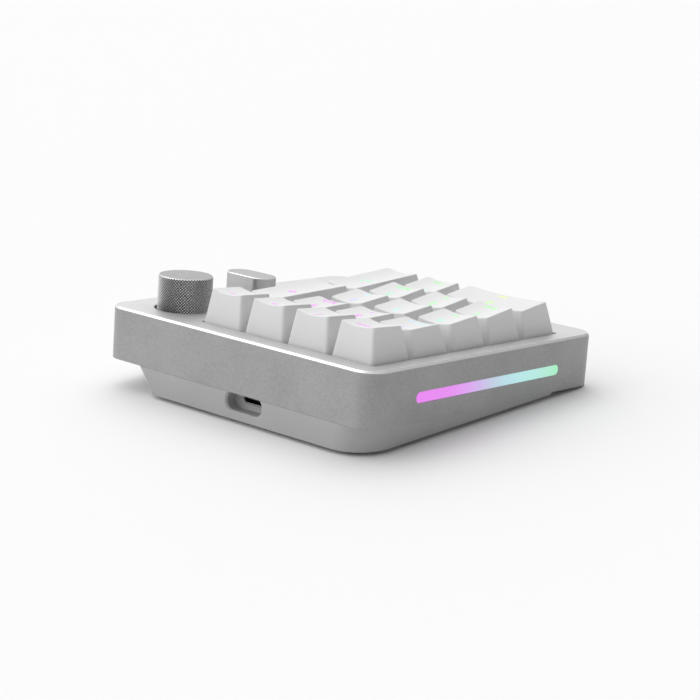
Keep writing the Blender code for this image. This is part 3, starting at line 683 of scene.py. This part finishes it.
def make_top_frame():
    half_x = WIDTH / 2
    half_y = DEPTH / 2
    below = SLAB_UNDERSIDE - 1

    def rim(inset, height, steps=24):
        x = half_x - inset
        y = half_y - inset
        return level(outline(-x, x, -y, y, FRAME_CORNER - inset, steps), height)

    left, front = (part - OPENING_GAP for part in case_box("keycap_0")[0][:2])
    right = case_box("keycap_subtract")[1].x + OPENING_GAP
    rear = case_box("keycap_num_lock")[1].y + OPENING_GAP
    x, y = KNOB_PLACE
    track_low, track_high = case_box("slider_track")

    def opening(grow, height):
        ends = (left - grow, right + grow, front - grow, rear + grow)
        return level(outline(*ends, OPENING_CORNER + grow, 8), height)

    def well(grow, height):
        return level(circle(WELL_RADIUS + grow, 96, KNOB_PLACE), height)

    def slot(grow, height):
        half = SLOT_HALF_WIDTH + grow
        ends = (track_low.y + SLOT_END_INSET - grow, track_high.y - SLOT_END_INSET + grow)
        return level(outline(x - half, x + half, *ends, SLOT_CORNER + grow, 8), height)

    shell = temp("shell", skin([rim(0.0, -FRAME_HEIGHT), rim(0.0, -FRAME_CHAMFER), rim(FRAME_CHAMFER, 0.0)]))
    encoder = ENCODER_POCKET_HALF
    track = TRACK_POCKET_HALF
    cutters = [
        skin([rim(FRAME_WALL, -FRAME_HEIGHT - 1, 8), rim(FRAME_WALL, SLAB_UNDERSIDE, 8)]),
        edged_cutter(opening, OPENING_EDGE, below),
        edged_cutter(well, WELL_EDGE, WELL_FLOOR),
        post_shape(KNOB_PLACE, BUSH_HOLE_RADIUS, below, 0.5),
        box_shape((x - encoder, y - encoder, below), (x + encoder, y + encoder, ENCODER_POCKET_TOP)),
        edged_cutter(slot, SLOT_EDGE, below),
        box_shape((x - track, track_low.y - 0.3, below), (x + track, track_high.y + 0.8, TRACK_POCKET_TOP)),
    ]
    for sign in (-1, 1):
        cutters.append(bar_shape(sorted((sign * (half_x - FRAME_WALL - 1), sign * (half_x + 1))), 0.0))
    steps = [("DIFFERENCE", cutter) for cutter in cutters]
    for number, (from_left, from_rear) in enumerate(SCREWS):
        place = (across(from_left), back(from_rear))
        end = base_height(place[1]) + FLOOR + GAP if number == 0 else PANEL_TOP + GAP
        steps.append(("UNION", post_shape(place, POST_RADIUS, end, SLAB_UNDERSIDE + 1)))
        steps.append(("DIFFERENCE", post_shape(place, SCREW_HOLE_RADIUS, end - 1, SLAB_UNDERSIDE + 3, 24)))
    mesh = take_mesh(apply_steps(shell, steps))

    def pick(centre, normal):
        on_rim = max(abs(centre.x) - half_x, abs(centre.y) - half_y) > -4.0
        if on_rim and centre.z > -1.0 and 0.5 < normal.z < 0.9:
            return 1
        # Faces on the top get the lighter copy of the blasted finish: painted light
        return 2 if normal.z > 0.9 and centre.z > -0.1 else 0

    place_piece("frame_shell", mesh, "case", ["top_frame"], [BLASTED, POLISHED, FRAME_TOP_PAINTED_LIGHT],
                pick=pick, weighted=True)


def bar_outline(inset):
    half = (BAR_FRONT - BAR_REAR) / 2 - inset
    middle = back((BAR_FRONT + BAR_REAR) / 2)
    height = BAR_HEIGHT / 2 - inset
    return outline(middle - half, middle + half, BAR_MIDDLE - height, BAR_MIDDLE + height, height * 0.98, 16)


def bar_shape(depths, inset):
    return skin([[(x, y, z) for y, z in bar_outline(inset)] for x in depths])


def make_light_bars():
    half_x = WIDTH / 2
    middle = back((BAR_FRONT + BAR_REAR) / 2)
    for side, sign in (("left", -1), ("right", 1)):
        levels = ((half_x - FRAME_WALL + 0.2, 0.04), (half_x - 0.25, 0.04), (half_x - 0.10, 0.10),
                  (half_x - 0.04, 0.25), (half_x - 0.02, 0.6))
        rings = [[(sign * x, y - middle, z) for y, z in bar_outline(inset)] for x, inset in levels]
        mesh = as_mesh("bar_light_" + side, *skin(rings))
        place_piece("bar_light_" + side, mesh, "case", ["light_bar_" + side], [BAR_LIGHT],
                    origin=(0.0, middle, 0.0))


# Lower case

def wedge_ring(share, inset, lift):
    """The wedge's outline at a share of its height, drawn in and lifted a little for the rounded edges."""
    front = back(WEDGE_FRONT) + inset
    rear = back(0.0) - inset
    left = across(WEDGE_LEFT_INSET) + inset
    right = across(WIDTH - WEDGE_RIGHT_INSET) - inset
    reach = WEDGE_TOP + REAR_HEIGHT
    corners = []
    for radius, edge, way in ((WEDGE_RIGHT_CORNER, rear, -1), (WEDGE_LEFT_CORNER, rear, -1),
                              (WEDGE_FRONT_CORNER, front, 1), (WEDGE_FRONT_CORNER, front, 1)):
        corners.append((radius - inset, edge + way * (radius - inset)))
    points = []
    for number, (radius, y_side) in enumerate(corners):
        for step in range(25):
            angle = math.pi / 2 * (number + step / 24)
            y = y_side + radius * math.sin(angle)
            low = base_height(y)
            room = WEDGE_TOP - low
            height = WEDGE_TOP - share * room + max(-0.45 * room, min(0.45 * room, lift))
            taper = (WEDGE_TOP - height) / reach
            if number in (0, 3):
                x_side = right - WEDGE_RIGHT_TAPER * taper - radius
            else:
                x_side = left + WEDGE_LEFT_TAPER * taper + radius
            points.append((x_side + radius * math.cos(angle), y, height))
    return points


def wedge_shape():
    soft = 0.3
    edge = 0.4
    rings = []
    for step in range(5):
        angle = math.pi / 2 * step / 4
        rings.append(wedge_ring(0.0, soft * (1 - math.sin(angle)), -soft * (1 - math.cos(angle))))
    for share in (0.3, 0.6):
        rings.append(wedge_ring(share, 0.0, 0.0))
    for step in range(7):
        angle = math.pi / 2 * step / 6
        rings.append(wedge_ring(1.0, edge * (1 - math.cos(angle)), edge * (1 - math.sin(angle))))
    return skin(rings)


def socket_ring(width, height, grow, y, middle, count=12):
    half_x = width / 2 + grow
    half_z = height / 2 + grow
    ends = (middle[0] - half_x, middle[0] + half_x, middle[1] - half_z, middle[1] + half_z)
    return [(x, y, z) for x, z in outline(*ends, half_z * 0.97, count)]


def wedge_hollow(neck_right):
    """The room inside the wedge, over a floor as thick all along the slope."""
    wall = FRAME_WALL + GAP + WEDGE_WALL
    hollow = temp("hollow", box_shape((across(wall), back(WEDGE_FRONT - 6.0), -REAR_HEIGHT - 5.0),
                                      (neck_right - WEDGE_WALL, back(wall), PANEL_TOP + 2.0), 4.0, 6))
    front, rear = [(y, base_height(y) + FLOOR / math.cos(TILT)) for y in (-DEPTH / 2 - 10, DEPTH / 2 + 10)]
    above_floor = [[(x, *front), (x, *rear), (x, rear[0], 20.0), (x, front[0], 20.0)]
                   for x in (-WIDTH, WIDTH)]
    return apply_steps(hollow, [("INTERSECT", skin(above_floor))])


def socket_cutters(socket, recess_depth):
    """The recess with its rounded mouth and bottom, and the socket's opening behind it."""
    places = ((recess_depth, -0.5), (recess_depth - 0.15, -0.15), (recess_depth - 0.5, 0.0), (0.7, 0.0),
              (0.15, 0.4), (0.0, 0.6), (-1.0, 1.6))
    recess = [socket_ring(RECESS_WIDTH, RECESS_HEIGHT, grow, back(depth), (socket[0], RECESS_MIDDLE), 16)
              for depth, grow in places]
    mouth = [socket_ring(SOCKET_WIDTH, SOCKET_HEIGHT, SOCKET_GAP, back(depth), socket)
             for depth in (recess_depth + 4.0, recess_depth - 1.0)]
    return skin(recess), skin(mouth)


def make_lower_case():
    wall = FRAME_WALL + GAP
    inner_x = WIDTH / 2 - wall
    inner_y = DEPTH / 2 - wall
    neck_right = across(WIDTH - WEDGE_RIGHT_INSET - NECK_INSET)
    middle = case_middle("usb_shell")
    recess_depth = DEPTH / 2 - case_box("usb_shell")[1].y
    recess, mouth = socket_cutters(middle.xz, recess_depth)
    wedge = temp("wedge", wedge_shape())
    steps = [
        ("UNION", box_shape((-inner_x, -inner_y, PANEL_UNDERSIDE), (inner_x, inner_y, PANEL_TOP), 4.5, 8)),
        ("UNION", box_shape((across(wall), back(WEDGE_FRONT - 3.0), -20.0),
                            (neck_right, back(wall), PANEL_UNDERSIDE + 1.0), 4.0, 6)),
        ("DIFFERENCE", wedge_hollow(neck_right)),
        ("UNION", box_shape((middle.x - BOSS_HALF_WIDTH, back(recess_depth + BOSS_THICKNESS), BOSS_UNDERSIDE),
                            (middle.x + BOSS_HALF_WIDTH, back(1.0), -FRAME_HEIGHT - GAP))),
        ("DIFFERENCE", recess),
        ("DIFFERENCE", mouth),
    ]
    for number, (from_left, from_rear) in enumerate(SCREWS):
        place = (across(from_left), back(from_rear))
        under = base_height(place[1]) if number == 0 else max(base_height(place[1]), PANEL_UNDERSIDE)
        steps.append(("DIFFERENCE", post_shape(place, SCREW_HOLE_RADIUS, under - 1, PANEL_TOP + 1, 24)))
        if number == 0:
            steps.append(("DIFFERENCE", post_shape(place, POST_WELL_RADIUS, under + FLOOR, PANEL_TOP + 1)))
        steps.append(("DIFFERENCE", post_shape(place, HEAD_WELL_RADIUS, under - 3, under + HEAD_WELL_DEPTH)))
    for ends in SCREW_NAMES:
        low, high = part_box("foot_" + ends)
        steps.append(("DIFFERENCE", foot_well((low + high) / 2, (high.z - low.z) / 2)))
    mesh = take_mesh(apply_steps(wedge, steps))

    def pick(centre, normal):
        # The rounded rear right corner gets the brighter copy of the coat: a painted highlight
        return 1 if centre.y > DEPTH / 2 - WEDGE_RIGHT_CORNER and normal.x > 0.25 and normal.y > 0.25 else 0

    place_piece("lower_shell", mesh, "case", ["bottom_case"], [CASE_COAT, CASE_CORNER_PAINTED_HIGHLIGHT], pick=pick,
                weighted=True)


def foot_well(middle, half_thickness):
    """The round pocket that a foot sits in, level in the row frame."""
    back_to_case = CASE.inverted()
    rings = []
    for rise in (-4.0, half_thickness / MM + GAP):
        ring = []
        for x, y in circle(FOOT_WELL_RADIUS, 48):
            ring.append(tuple(back_to_case @ (middle + Vector((x, y, rise)) * MM) / MM))
        rings.append(ring)
    return skin(rings)


make_top_frame()
make_light_bars()
make_lower_case()


# Feet and screws

# A foot's lower edge and groove: inset from its side and rise from its underside
FOOT_TREAD = ((0.0, 0.35), (0.1, 0.1), (0.35, 0.0), (0.9, 0.0), (1.1, 0.12), (1.5, 0.12), (1.7, 0.0))
THREAD_PITCH = 0.5
THREAD_RADIUS = 1.3
THREAD_ROOT = 1.05
HEAD_RADIUS = 2.3
HEX_RADIUS = 1.05


def make_feet():
    for ends in SCREW_NAMES:
        low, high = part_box("foot_" + ends)
        middle = (low + high) / 2 / MM
        half = (high.z - low.z) / 2 / MM
        radius = (high.x - low.x) / 2 / MM
        profile = [(0.0, half), (radius - 0.2, half), (radius, half - 0.2)]
        profile += [(radius - inset, rise - half) for inset, rise in FOOT_TREAD] + [(0.0, -half)]
        mesh = as_mesh("foot_pad_" + ends, *turned(profile, 64))
        place_piece("foot_pad_" + ends, mesh, "case", ["foot_" + ends], [RUBBER],
                    origin=middle, on_level=True)


def make_screws():
    for ends in SCREW_NAMES:
        low, high = case_box("case_screw_" + ends)
        length = high.z - low.z
        profile = [(0.0, length), (0.9, length - 0.1)]
        height = length - THREAD_PITCH
        while height > 1.0:
            profile += [(THREAD_RADIUS, height), (THREAD_ROOT, height - THREAD_PITCH / 2)]
            height -= THREAD_PITCH
        profile += [(THREAD_RADIUS, 0.85), (HEAD_RADIUS, 0.8), (HEAD_RADIUS, 0.3), (HEAD_RADIUS - 0.1, 0.1),
                    (HEAD_RADIUS - 0.35, 0.0), (0.0, 0.0)]
        screw = temp("screw", turned(profile, 48))
        apply_steps(screw, [("DIFFERENCE", post_shape((0.0, 0.0), HEX_RADIUS, -1.0, 0.6, 6))])
        place_piece("screw_" + ends, take_mesh(screw), "case", ["case_screw_" + ends], [STEEL],
                    origin=(*((low + high) / 2).xy, low.z))


make_feet()
make_screws()


# Socket

def make_socket():
    low, high = case_box("usb_shell")
    middle = ((low + high) / 2).xz
    levels = ((low.y, 0.0), (high.y - 0.12, 0.0), (high.y - 0.02, -0.08), (high.y, -0.2),
              (high.y - 0.02, -0.3), (high.y - 0.12, -0.38), (low.y + 0.5, -0.38))
    rings = [socket_ring(high.x - low.x, high.z - low.z, grow, y, middle) for y, grow in levels]
    mesh = as_mesh("usb_shell_body", *skin(rings))
    place_piece("usb_shell_body", mesh, "case", ["usb_shell"], [SOCKET, DARK],
                pick=lambda centre, normal: 1 if centre.y < low.y + 1.0 and normal.y > 0.5 else 0)
    low, high = case_box("usb_tongue")
    half = (high.z - low.z) / 2
    centre = ((low + high) / 2).xz
    rings = [socket_ring(high.x - low.x, 2 * half, grow, y, centre, 4) for y, grow in
             ((low.y, 0.0), (high.y - 0.25, 0.0), (high.y - 0.05, -0.06), (high.y, -0.15))]
    mesh = as_mesh("usb_tongue_body", *skin(rings))
    place_piece("usb_tongue_body", mesh, "case", ["usb_tongue"], [DARK])
    contacts = []
    for number in range(12):
        x = centre[0] + (number - 5.5) * 0.5
        for side in (1, -1):
            face = centre[1] + side * half
            under, over = sorted((face - side * 0.05, face + side * 0.02))
            contacts.append(box_shape((x - 0.12, low.y + 2.5, under), (x + 0.12, high.y - 0.9, over)))
    place_piece("usb_contacts", merged("usb_contacts", contacts), "case", [], [GOLD])


make_socket()


# Keys

def top_profile(row, rows):
    rear_height, rear_inset, _, _ = ROWS[row]
    _, _, front_height, front_inset = ROWS[row + rows - 1]
    return rear_height, rear_inset, front_height, front_inset


class KeyForm:
    """Shape of one keycap about its own middle."""

    def __init__(self, columns, row, rows):
        rear_height, rear_inset, front_height, front_inset = top_profile(row, rows)
        self.half_x = columns * PITCH / 2
        self.half_y = rows * PITCH / 2
        self.top_x = self.half_x - KEY_TOP_INSET
        self.top_y = self.half_y - (rear_inset + front_inset) / 2
        self.shift = (front_inset - rear_inset) / 2
        self.lean = (rear_height - front_height) / (2 * self.top_y)
        self.middle = (rear_height + front_height) / 2
        self.ceiling = min(rear_height, front_height) - KEY_CROWN
        self.columns = columns
        self.rows = rows

    def surface(self, x, y):
        """Height of the dished top at a place about the key's middle."""
        share = min(1.0, abs(x / self.top_x))
        return self.middle + (y - self.shift) * self.lean - KEY_DISH * (1 - share ** 2)

    def ring(self, half_x, half_y, middle_y, radius):
        return outline(-half_x, half_x, middle_y - half_y, middle_y + half_y, radius, 7, 14 * self.columns,
                       10 * self.rows)

    def side_ring(self, share, inset=0.0):
        """The outline at a share of the way up the side."""
        base_x = self.half_x - KEY_BASE_INSET
        base_y = self.half_y - KEY_BASE_INSET
        half_x = base_x + (self.top_x - base_x) * share - inset
        half_y = base_y + (self.top_y - base_y) * share - inset
        return self.ring(half_x, half_y, self.shift * share, 1.3 - 0.3 * share)


def keycap_shape(form):
    """A hollow cap: sides, rounded edge and dished top, then the inside in the same counts."""
    edge = 0.32
    edge_share = 0.97
    rings = []
    for inset, lift in ((0.28, 0.0), (0.1, 0.05), (0.0, 0.25)):
        rings.append([(x, y, KEY_SKIRT + lift) for x, y in form.side_ring(0.0, inset)])
    for step in range(1, 9):
        share = step / 8
        ring = []
        for x, y in form.side_ring(share * edge_share):
            top = form.surface(x, y) - edge
            ring.append((x, y, KEY_SKIRT + 0.25 + (top - KEY_SKIRT - 0.25) * share))
        rings.append(ring)
    for step in range(1, 6):
        angle = math.pi / 2 * step / 5
        ring = []
        for x, y in form.side_ring(edge_share + (1 - edge_share) * step / 5, edge * (1 - math.cos(angle))):
            ring.append((x, y, form.surface(x, y) - edge * (1 - math.sin(angle))))
        rings.append(ring)
    rim_x = form.top_x - edge
    rim_y = form.top_y - edge
    for step in range(1, 14):
        share = 1 - step / 14
        ring = form.ring(rim_x * share, rim_y * share, form.shift, (1.0 - edge) * share)
        rings.append([(x, y, form.surface(x, y)) for x, y in ring])
    top_points, top_faces = skin(rings, caps=False)
    count = len(rings[0])
    last = len(top_points) - count
    tip = len(top_points)
    top_points.append((0.0, form.shift, form.surface(0.0, form.shift)))
    top_faces += [(last + step, last + (step + 1) % count, tip) for step in range(count)]
    base_x = form.half_x - KEY_BASE_INSET - KEY_WALL
    base_y = form.half_y - KEY_BASE_INSET - KEY_WALL
    inner = [
        level(form.ring(base_x + 0.2, base_y + 0.2, 0.0, 1.0), KEY_SKIRT),
        level(form.ring(base_x, base_y, 0.0, 0.8), KEY_SKIRT + 0.3),
        level(form.ring(form.top_x - 0.75, form.top_y - 1.0, form.shift, 0.8), form.ceiling - 0.4),
        level(form.ring(form.top_x - 1.15, form.top_y - 1.4, form.shift, 0.5), form.ceiling),
    ]
    start = len(top_points)
    inner_points, inner_faces = skin(inner, caps=False)
    points = top_points + inner_points
    faces = top_faces + [tuple(start + index for index in face) for face in inner_faces]
    faces += band(0, start, count)
    roof = start + len(inner_points) - count
    faces.append(tuple(range(roof, roof + count)))
    return points, faces


def stem_socket_shape(form):
    """The round post under the cap, with the cross-shaped hole that the switch stem fills."""
    low = -1.5
    top = form.ceiling + 0.3
    deep = 2.4
    outer = circle(2.7, 48)
    cross = []
    for number in range(4):
        turn = Matrix.Rotation(math.pi / 2 * number, 2)
        for point in ((2.3, 0.0), (2.3, 0.9), (0.9, 0.9), (0.9, 2.3)):
            cross.append(tuple(turn @ Vector(point)))
    tube = temp("tube", skin([level(outer, low), level(outer, top)]))
    apply_steps(tube, [("DIFFERENCE", skin([level(cross, low - 1), level(cross, deep)]))])
    mesh = take_mesh(tube)
    return [tuple(vert.co) for vert in mesh.vertices], [tuple(polygon.vertices) for polygon in mesh.polygons]


# Grows a letter's outline, as a share of the font's size
LEGEND_OFFSET = 0.004
LEGEND_RISE = 0.025
LEGEND_SINK = 0.15
LEGEND_CUT = 0.45


def glyph_mesh(text):
    """Flat faces of a word or figure, one unit high at its capitals, centred on its own box."""
    def flat(body):
        data = bpy.data.curves.new("glyph", "FONT")
        data.body = body
        data.resolution_u = 3
        data.offset = LEGEND_OFFSET
        data.fill_mode = "FRONT"
        item = new_object("glyph", data)
        mesh = final_mesh(item)
        bpy.data.objects.remove(item)
        return mesh

    capital = flat("H")
    height = max(vert.co.y for vert in capital.vertices) - min(vert.co.y for vert in capital.vertices)
    mesh = flat(text)
    xs = [vert.co.x for vert in mesh.vertices]
    ys = [vert.co.y for vert in mesh.vertices]
    middle_y = height / 2 if text not in "*." else (min(ys) + max(ys)) / 2
    for vert in mesh.vertices:
        vert.co = ((vert.co.x - (min(xs) + max(xs)) / 2) / height, (vert.co.y - middle_y) / height, 0.0)
    return mesh


# Drawn legends, one unit high
STROKE = 0.085
ARROW = ((-STROKE, -0.5), (STROKE, -0.5), (STROKE, 0.2), (0.26, 0.0), (0.26, 0.22), (0.0, 0.5),
         (-0.26, 0.22), (-0.26, 0.0), (-STROKE, 0.2))
RETURN_ARROW = ((0.62, 0.5), (0.48, 0.5), (0.48, -0.07), (-0.30, -0.07), (-0.08, 0.14), (-0.28, 0.14),
                (-0.62, -0.15), (-0.28, -0.44), (-0.08, -0.44), (-0.30, -0.23), (0.62, -0.23))
PLUS_ARM = ((0.5, STROKE), (STROKE, STROKE), (STROKE, 0.5))
PLUS = (*PLUS_ARM, *((-x, y) for x, y in reversed(PLUS_ARM)), *((-x, -y) for x, y in PLUS_ARM),
        *((x, -y) for x, y in reversed(PLUS_ARM)))
MINUS = ((0.6, STROKE), (-0.6, STROKE), (-0.6, -STROKE), (0.6, -STROKE))
ARROW_TURNS = {"arrow_up": 0.0, "arrow_left": 90.0, "arrow_down": 180.0, "arrow_right": 270.0}


def symbol_mesh(name):
    if name in ARROW_TURNS:
        turn = Matrix.Rotation(math.radians(ARROW_TURNS[name]), 2)
        points = [turn @ Vector(point) for point in ARROW]
    else:
        points = {"arrow_return": RETURN_ARROW, "plus": PLUS, "minus": MINUS}[name]
    mesh = bpy.data.meshes.new(name)
    mesh.from_pydata([(x, y, 0.0) for x, y in points], [], [tuple(range(len(points)))])
    return mesh


def legend_shape(name, height, place, form):
    """A thin raised plate in the outline of a legend, following the dished top."""
    drawn = name.startswith("arrow") or name in ("plus", "minus")
    mesh = symbol_mesh(name) if drawn else glyph_mesh(name)
    bm = bmesh.new()
    bm.from_mesh(mesh)
    bmesh.ops.remove_doubles(bm, verts=bm.verts, dist=0.0005)
    bmesh.ops.triangulate(bm, faces=bm.faces)
    bmesh.ops.scale(bm, vec=(height, height, 1.0), verts=bm.verts)
    bmesh.ops.translate(bm, vec=(place[0], place[1], 0.0), verts=bm.verts)
    low = min(vert.co.x for vert in bm.verts)
    high = max(vert.co.x for vert in bm.verts)
    cut = math.ceil(low / LEGEND_CUT) * LEGEND_CUT
    while cut < high:
        geometry = bm.verts[:] + bm.edges[:] + bm.faces[:]
        bmesh.ops.bisect_plane(bm, geom=geometry, plane_co=(cut, 0, 0), plane_no=(1, 0, 0), dist=0.0001)
        cut += LEGEND_CUT
    grown = bmesh.ops.extrude_face_region(bm, geom=bm.faces[:])
    raised = {item for item in grown["geom"] if isinstance(item, bmesh.types.BMVert)}
    for vert in bm.verts:
        rise = LEGEND_RISE if vert in raised else -LEGEND_SINK
        vert.co.z = form.surface(vert.co.x, vert.co.y) + rise
    bmesh.ops.recalc_face_normals(bm, faces=bm.faces)
    bm.verts.index_update()
    points = [tuple(vert.co) for vert in bm.verts]
    faces = [tuple(vert.index for vert in face.verts) for face in bm.faces]
    bm.free()
    return points, faces


MAIN_HEIGHT = 3.6
MAIN_HEIGHTS = {"Num": 2.3, "minus": 3.0, "plus": 3.4, "/": 3.4, ".": 4.2, "arrow_return": 3.2}


def make_keys():
    for name, columns, row, rows, main, lower in KEYS:
        form = KeyForm(columns, row, rows)
        origin = (*case_middle("keycap_" + name).xy, 0.0)
        cap = merged("cap_" + name, [keycap_shape(form), stem_socket_shape(form)])
        place_piece("cap_" + name, cap, "key_" + name, ["keycap_" + name], [KEY_PLASTIC],
                    origin=origin, sharp=40.0)
        shapes = [legend_shape(main, MAIN_HEIGHTS.get(main, MAIN_HEIGHT), (0.2, form.shift + 3.2), form)]
        if lower:
            small = 2.6 if lower.startswith("arrow") else 2.2
            shapes.append(legend_shape(lower, small, (0.4, form.shift - 4.2), form))

        def glow(point, origin=origin):
            return glow_colour(origin[0] + point.x + WIDTH / 2, DEPTH / 2 - origin[1] - point.y)

        place_piece("legend_" + name, merged("legend_" + name, shapes), "key_" + name, [],
                    [LEGEND], origin=origin, glow=glow)


make_keys()


# Knob and slider

KNOB_CHAMFER = 0.42
KNOB_BORE_RADIUS = 3.3
KNOB_BORE_TOP = 2.5
KNOB_SKIRT_INSET = 0.55
KNURLS = 58
KNURL_PITCH = 1.0
KNURL_LOW = -0.2
KNURL_SLOPE = 1.55


def make_knob():
    """A knurled band, with rings added above it to the dished top and below it into the bore."""
    low, high = KNOB_LOW, KNOB_HIGH
    count = KNURLS * 4
    band_top = high.z - KNOB_CHAMFER
    rows = round((band_top - KNURL_LOW) / (KNURL_PITCH / 4))
    rows -= rows % 2
    step_up = (band_top - KNURL_LOW) / rows

    def depth(column, row):
        distances = [min((column + sign * row) % 4, -(column + sign * row) % 4) for sign in (-1, 1)]
        return KNURL_DEPTH * (1 - min(*distances, KNURL_SLOPE) / KNURL_SLOPE)

    points = []
    for row in range(rows + 1):
        for column in range(count):
            cut = depth(column, row)
            angle = 2 * math.pi * column / count
            height = KNURL_LOW + row * step_up
            height += cut if row == rows else (-cut if row == 0 else 0.0)
            radius = KNOB_RADIUS - cut
            points.append((radius * math.cos(angle), radius * math.sin(angle), height))
    faces = []
    for row in range(rows):
        for column, corners in enumerate(band(row * count, (row + 1) * count, count)):
            rise = abs(depth(column, row) - depth(column + 1, row + 1))
            fall = abs(depth(column + 1, row) - depth(column, row + 1))
            if rise <= fall:
                faces += [(corners[0], corners[1], corners[2]), (corners[0], corners[2], corners[3])]
            else:
                faces += [(corners[0], corners[1], corners[3]), (corners[1], corners[2], corners[3])]
    flat = KNOB_RADIUS - KNOB_CHAMFER - 0.06
    upper = [(flat + 0.09, high.z - 0.02), (flat, high.z)]
    upper += [(flat * share, high.z - 0.12 * (1 - share ** 2)) for share in (0.8, 0.6, 0.4, 0.2, 0.05)]
    skirt = KNOB_RADIUS - KNOB_SKIRT_INSET
    lower = [(skirt, KNURL_LOW - 0.9), (skirt, low.z), (KNOB_BORE_RADIUS, low.z),
             (KNOB_BORE_RADIUS, high.z - KNOB_BORE_TOP)]
    for last, rings in ((rows * count, upper), (0, lower)):
        for radius, height in rings:
            first = len(points)
            points += level(circle(radius, count), height)
            faces += band(last, first, count)
            last = first
        faces.append(tuple(range(last, last + count)))
    mesh = as_mesh("knob_body", points, faces)

    def pick(centre, normal):
        if centre.z > high.z - 0.14 and normal.z > 0.9:
            return 2
        if centre.z > band_top + 0.02 and 0.5 < normal.z < 0.9:
            return 1
        return 0

    place_piece("knob_body", mesh, "knob", ["knob"], [KNURLED, POLISHED, SPUN],
                origin=(*KNOB_PLACE, 0.0), pick=pick, sharp=18.0)


SLIDER_CHAMFER = 0.26


def make_slider_cap():
    low, high = case_box("slider_cap")
    middle = (low + high) / 2
    half_x, half_y, _ = (high - low) / 2

    def rim(inset, height):
        x = half_x - inset
        y = half_y - inset
        return level(outline(-x, x, -y, y, half_y * 0.99 - inset, 32), height)

    chamfer_start = high.z - SLIDER_CHAMFER
    cap = temp("cap", skin([rim(0.25, low.z), rim(0.0, low.z + 0.25), rim(0.0, chamfer_start),
                            rim(SLIDER_CHAMFER, high.z)]))
    lever_low, lever_high = [corner - middle for corner in case_box("slider_lever")]
    pocket = box_shape((lever_low.x - GAP, lever_low.y - GAP, -3.0),
                       (lever_high.x + GAP, lever_high.y + GAP, lever_high.z + middle.z + GAP))
    apply_steps(cap, [("DIFFERENCE", pocket)])

    def pick(centre, normal):
        if centre.z > chamfer_start and 0.5 < normal.z < 0.9:
            return 1
        return 2 if normal.z > 0.9 else 0

    place_piece("slider_grip", take_mesh(cap), "slider", ["slider_cap"],
                [BRUSHED, POLISHED, BRUSHED_TOP], origin=(*middle.xy, 0.0), pick=pick, weighted=True)


make_knob()
make_slider_cap()


# Inner pieces that stay as the CAD made them

INNER = {
    "switch_plate": finish("plate_steel", (0.55, 0.55, 0.56), 0.38, 1.0, cad=True, grain=2.0, bump=0.006,
                           contrast=0.1, stretch=(0.1, 4.0, 1.0)),
    "circuit_board": board_material("board_laminate"),
    "usb_board": board_material("socket_board"),
    "light_strip_left": board_material("strip_laminate"),
    "encoder_body": finish("encoder_plastic", (0.05, 0.05, 0.052), 0.45, cad=True, bump=0.008, contrast=0.2),
    "encoder_shaft": finish("shaft_steel", (0.45, 0.45, 0.46), 0.3, 1.0, cad=True, grain=3.0, bump=0.004,
                            contrast=0.1, stretch=(1.0, 1.0, 0.1)),
    "slider_track": finish("track_steel", (0.50, 0.50, 0.51), 0.4, 1.0, cad=True, grain=2.0, bump=0.006,
                           contrast=0.1, stretch=(4.0, 0.1, 1.0)),
    "slider_lever": finish("lever_steel", (0.50, 0.50, 0.51), 0.35, 1.0, cad=True, grain=2.0, bump=0.005,
                           contrast=0.1, stretch=(1.0, 1.0, 4.0)),
}
INNER["light_strip_right"] = INNER["light_strip_left"]
STEM = finish("stem_plastic", (0.45, 0.05, 0.05), 0.4, cad=True, grain=5.0, bump=0.004, contrast=0.1)
for key in KEYS:
    INNER["switch_stem_" + key[0]] = STEM
for node_name, paint in INNER.items():
    slots = frame["nodes"][node_name].data.materials
    for index in range(len(slots)):
        slots[index] = paint


# Floor, light and background

FLOOR_REACH = 12.0
FLOOR_COLOUR = (0.95, 0.95, 0.95, 1.0)

# Soft lights as broad lobes of the background: direction, sharpness, strength
AMBIENT = 0.32
LOBES = (
    ((0.42, -0.33, 0.85), 6.0, 2.25),
    ((0.58, 0.75, 0.33), 5.0, 1.6),
    ((0.70, -0.60, 0.40), 10.0, 0.8),
)


def light_world():
    world = bpy.data.worlds.new("studio")
    world.use_nodes = True
    bpy.context.scene.world = world
    tree = world.node_tree
    direction = add(tree, "TexCoord").outputs["Generated"]
    total = AMBIENT
    for toward, sharpness, strength in LOBES:
        vectors = {0: direction, 1: Vector(toward).normalized()}
        facing = add(tree, "VectorMath", vectors, operation="DOT_PRODUCT")
        lobe = math_node(tree, "POWER", math_node(tree, "MAXIMUM", facing.outputs["Value"]), sharpness)
        total = math_node(tree, "ADD", total, math_node(tree, "MULTIPLY", lobe, strength))
    feed(tree.nodes["Background"], {"Strength": total, "Color": WHITE})


def make_stage():
    mesh = bpy.data.meshes.new("floor")
    corners = ((-1, -1), (1, -1), (1, 1), (-1, 1))
    mesh.from_pydata([(x * FLOOR_REACH, y * FLOOR_REACH, 0) for x, y in corners], [], [(0, 1, 2, 3)])
    new_object("floor", mesh)
    material, _, shader = principled("floor_paper")
    feed(shader, {"Base Color": FLOOR_COLOUR, "Roughness": 0.9, "Specular IOR Level": 0.1})
    mesh.materials.append(material)
    light_world()
    view = bpy.context.scene.view_settings
    view.view_transform = "Standard"
    view.look = "None"


make_stage()
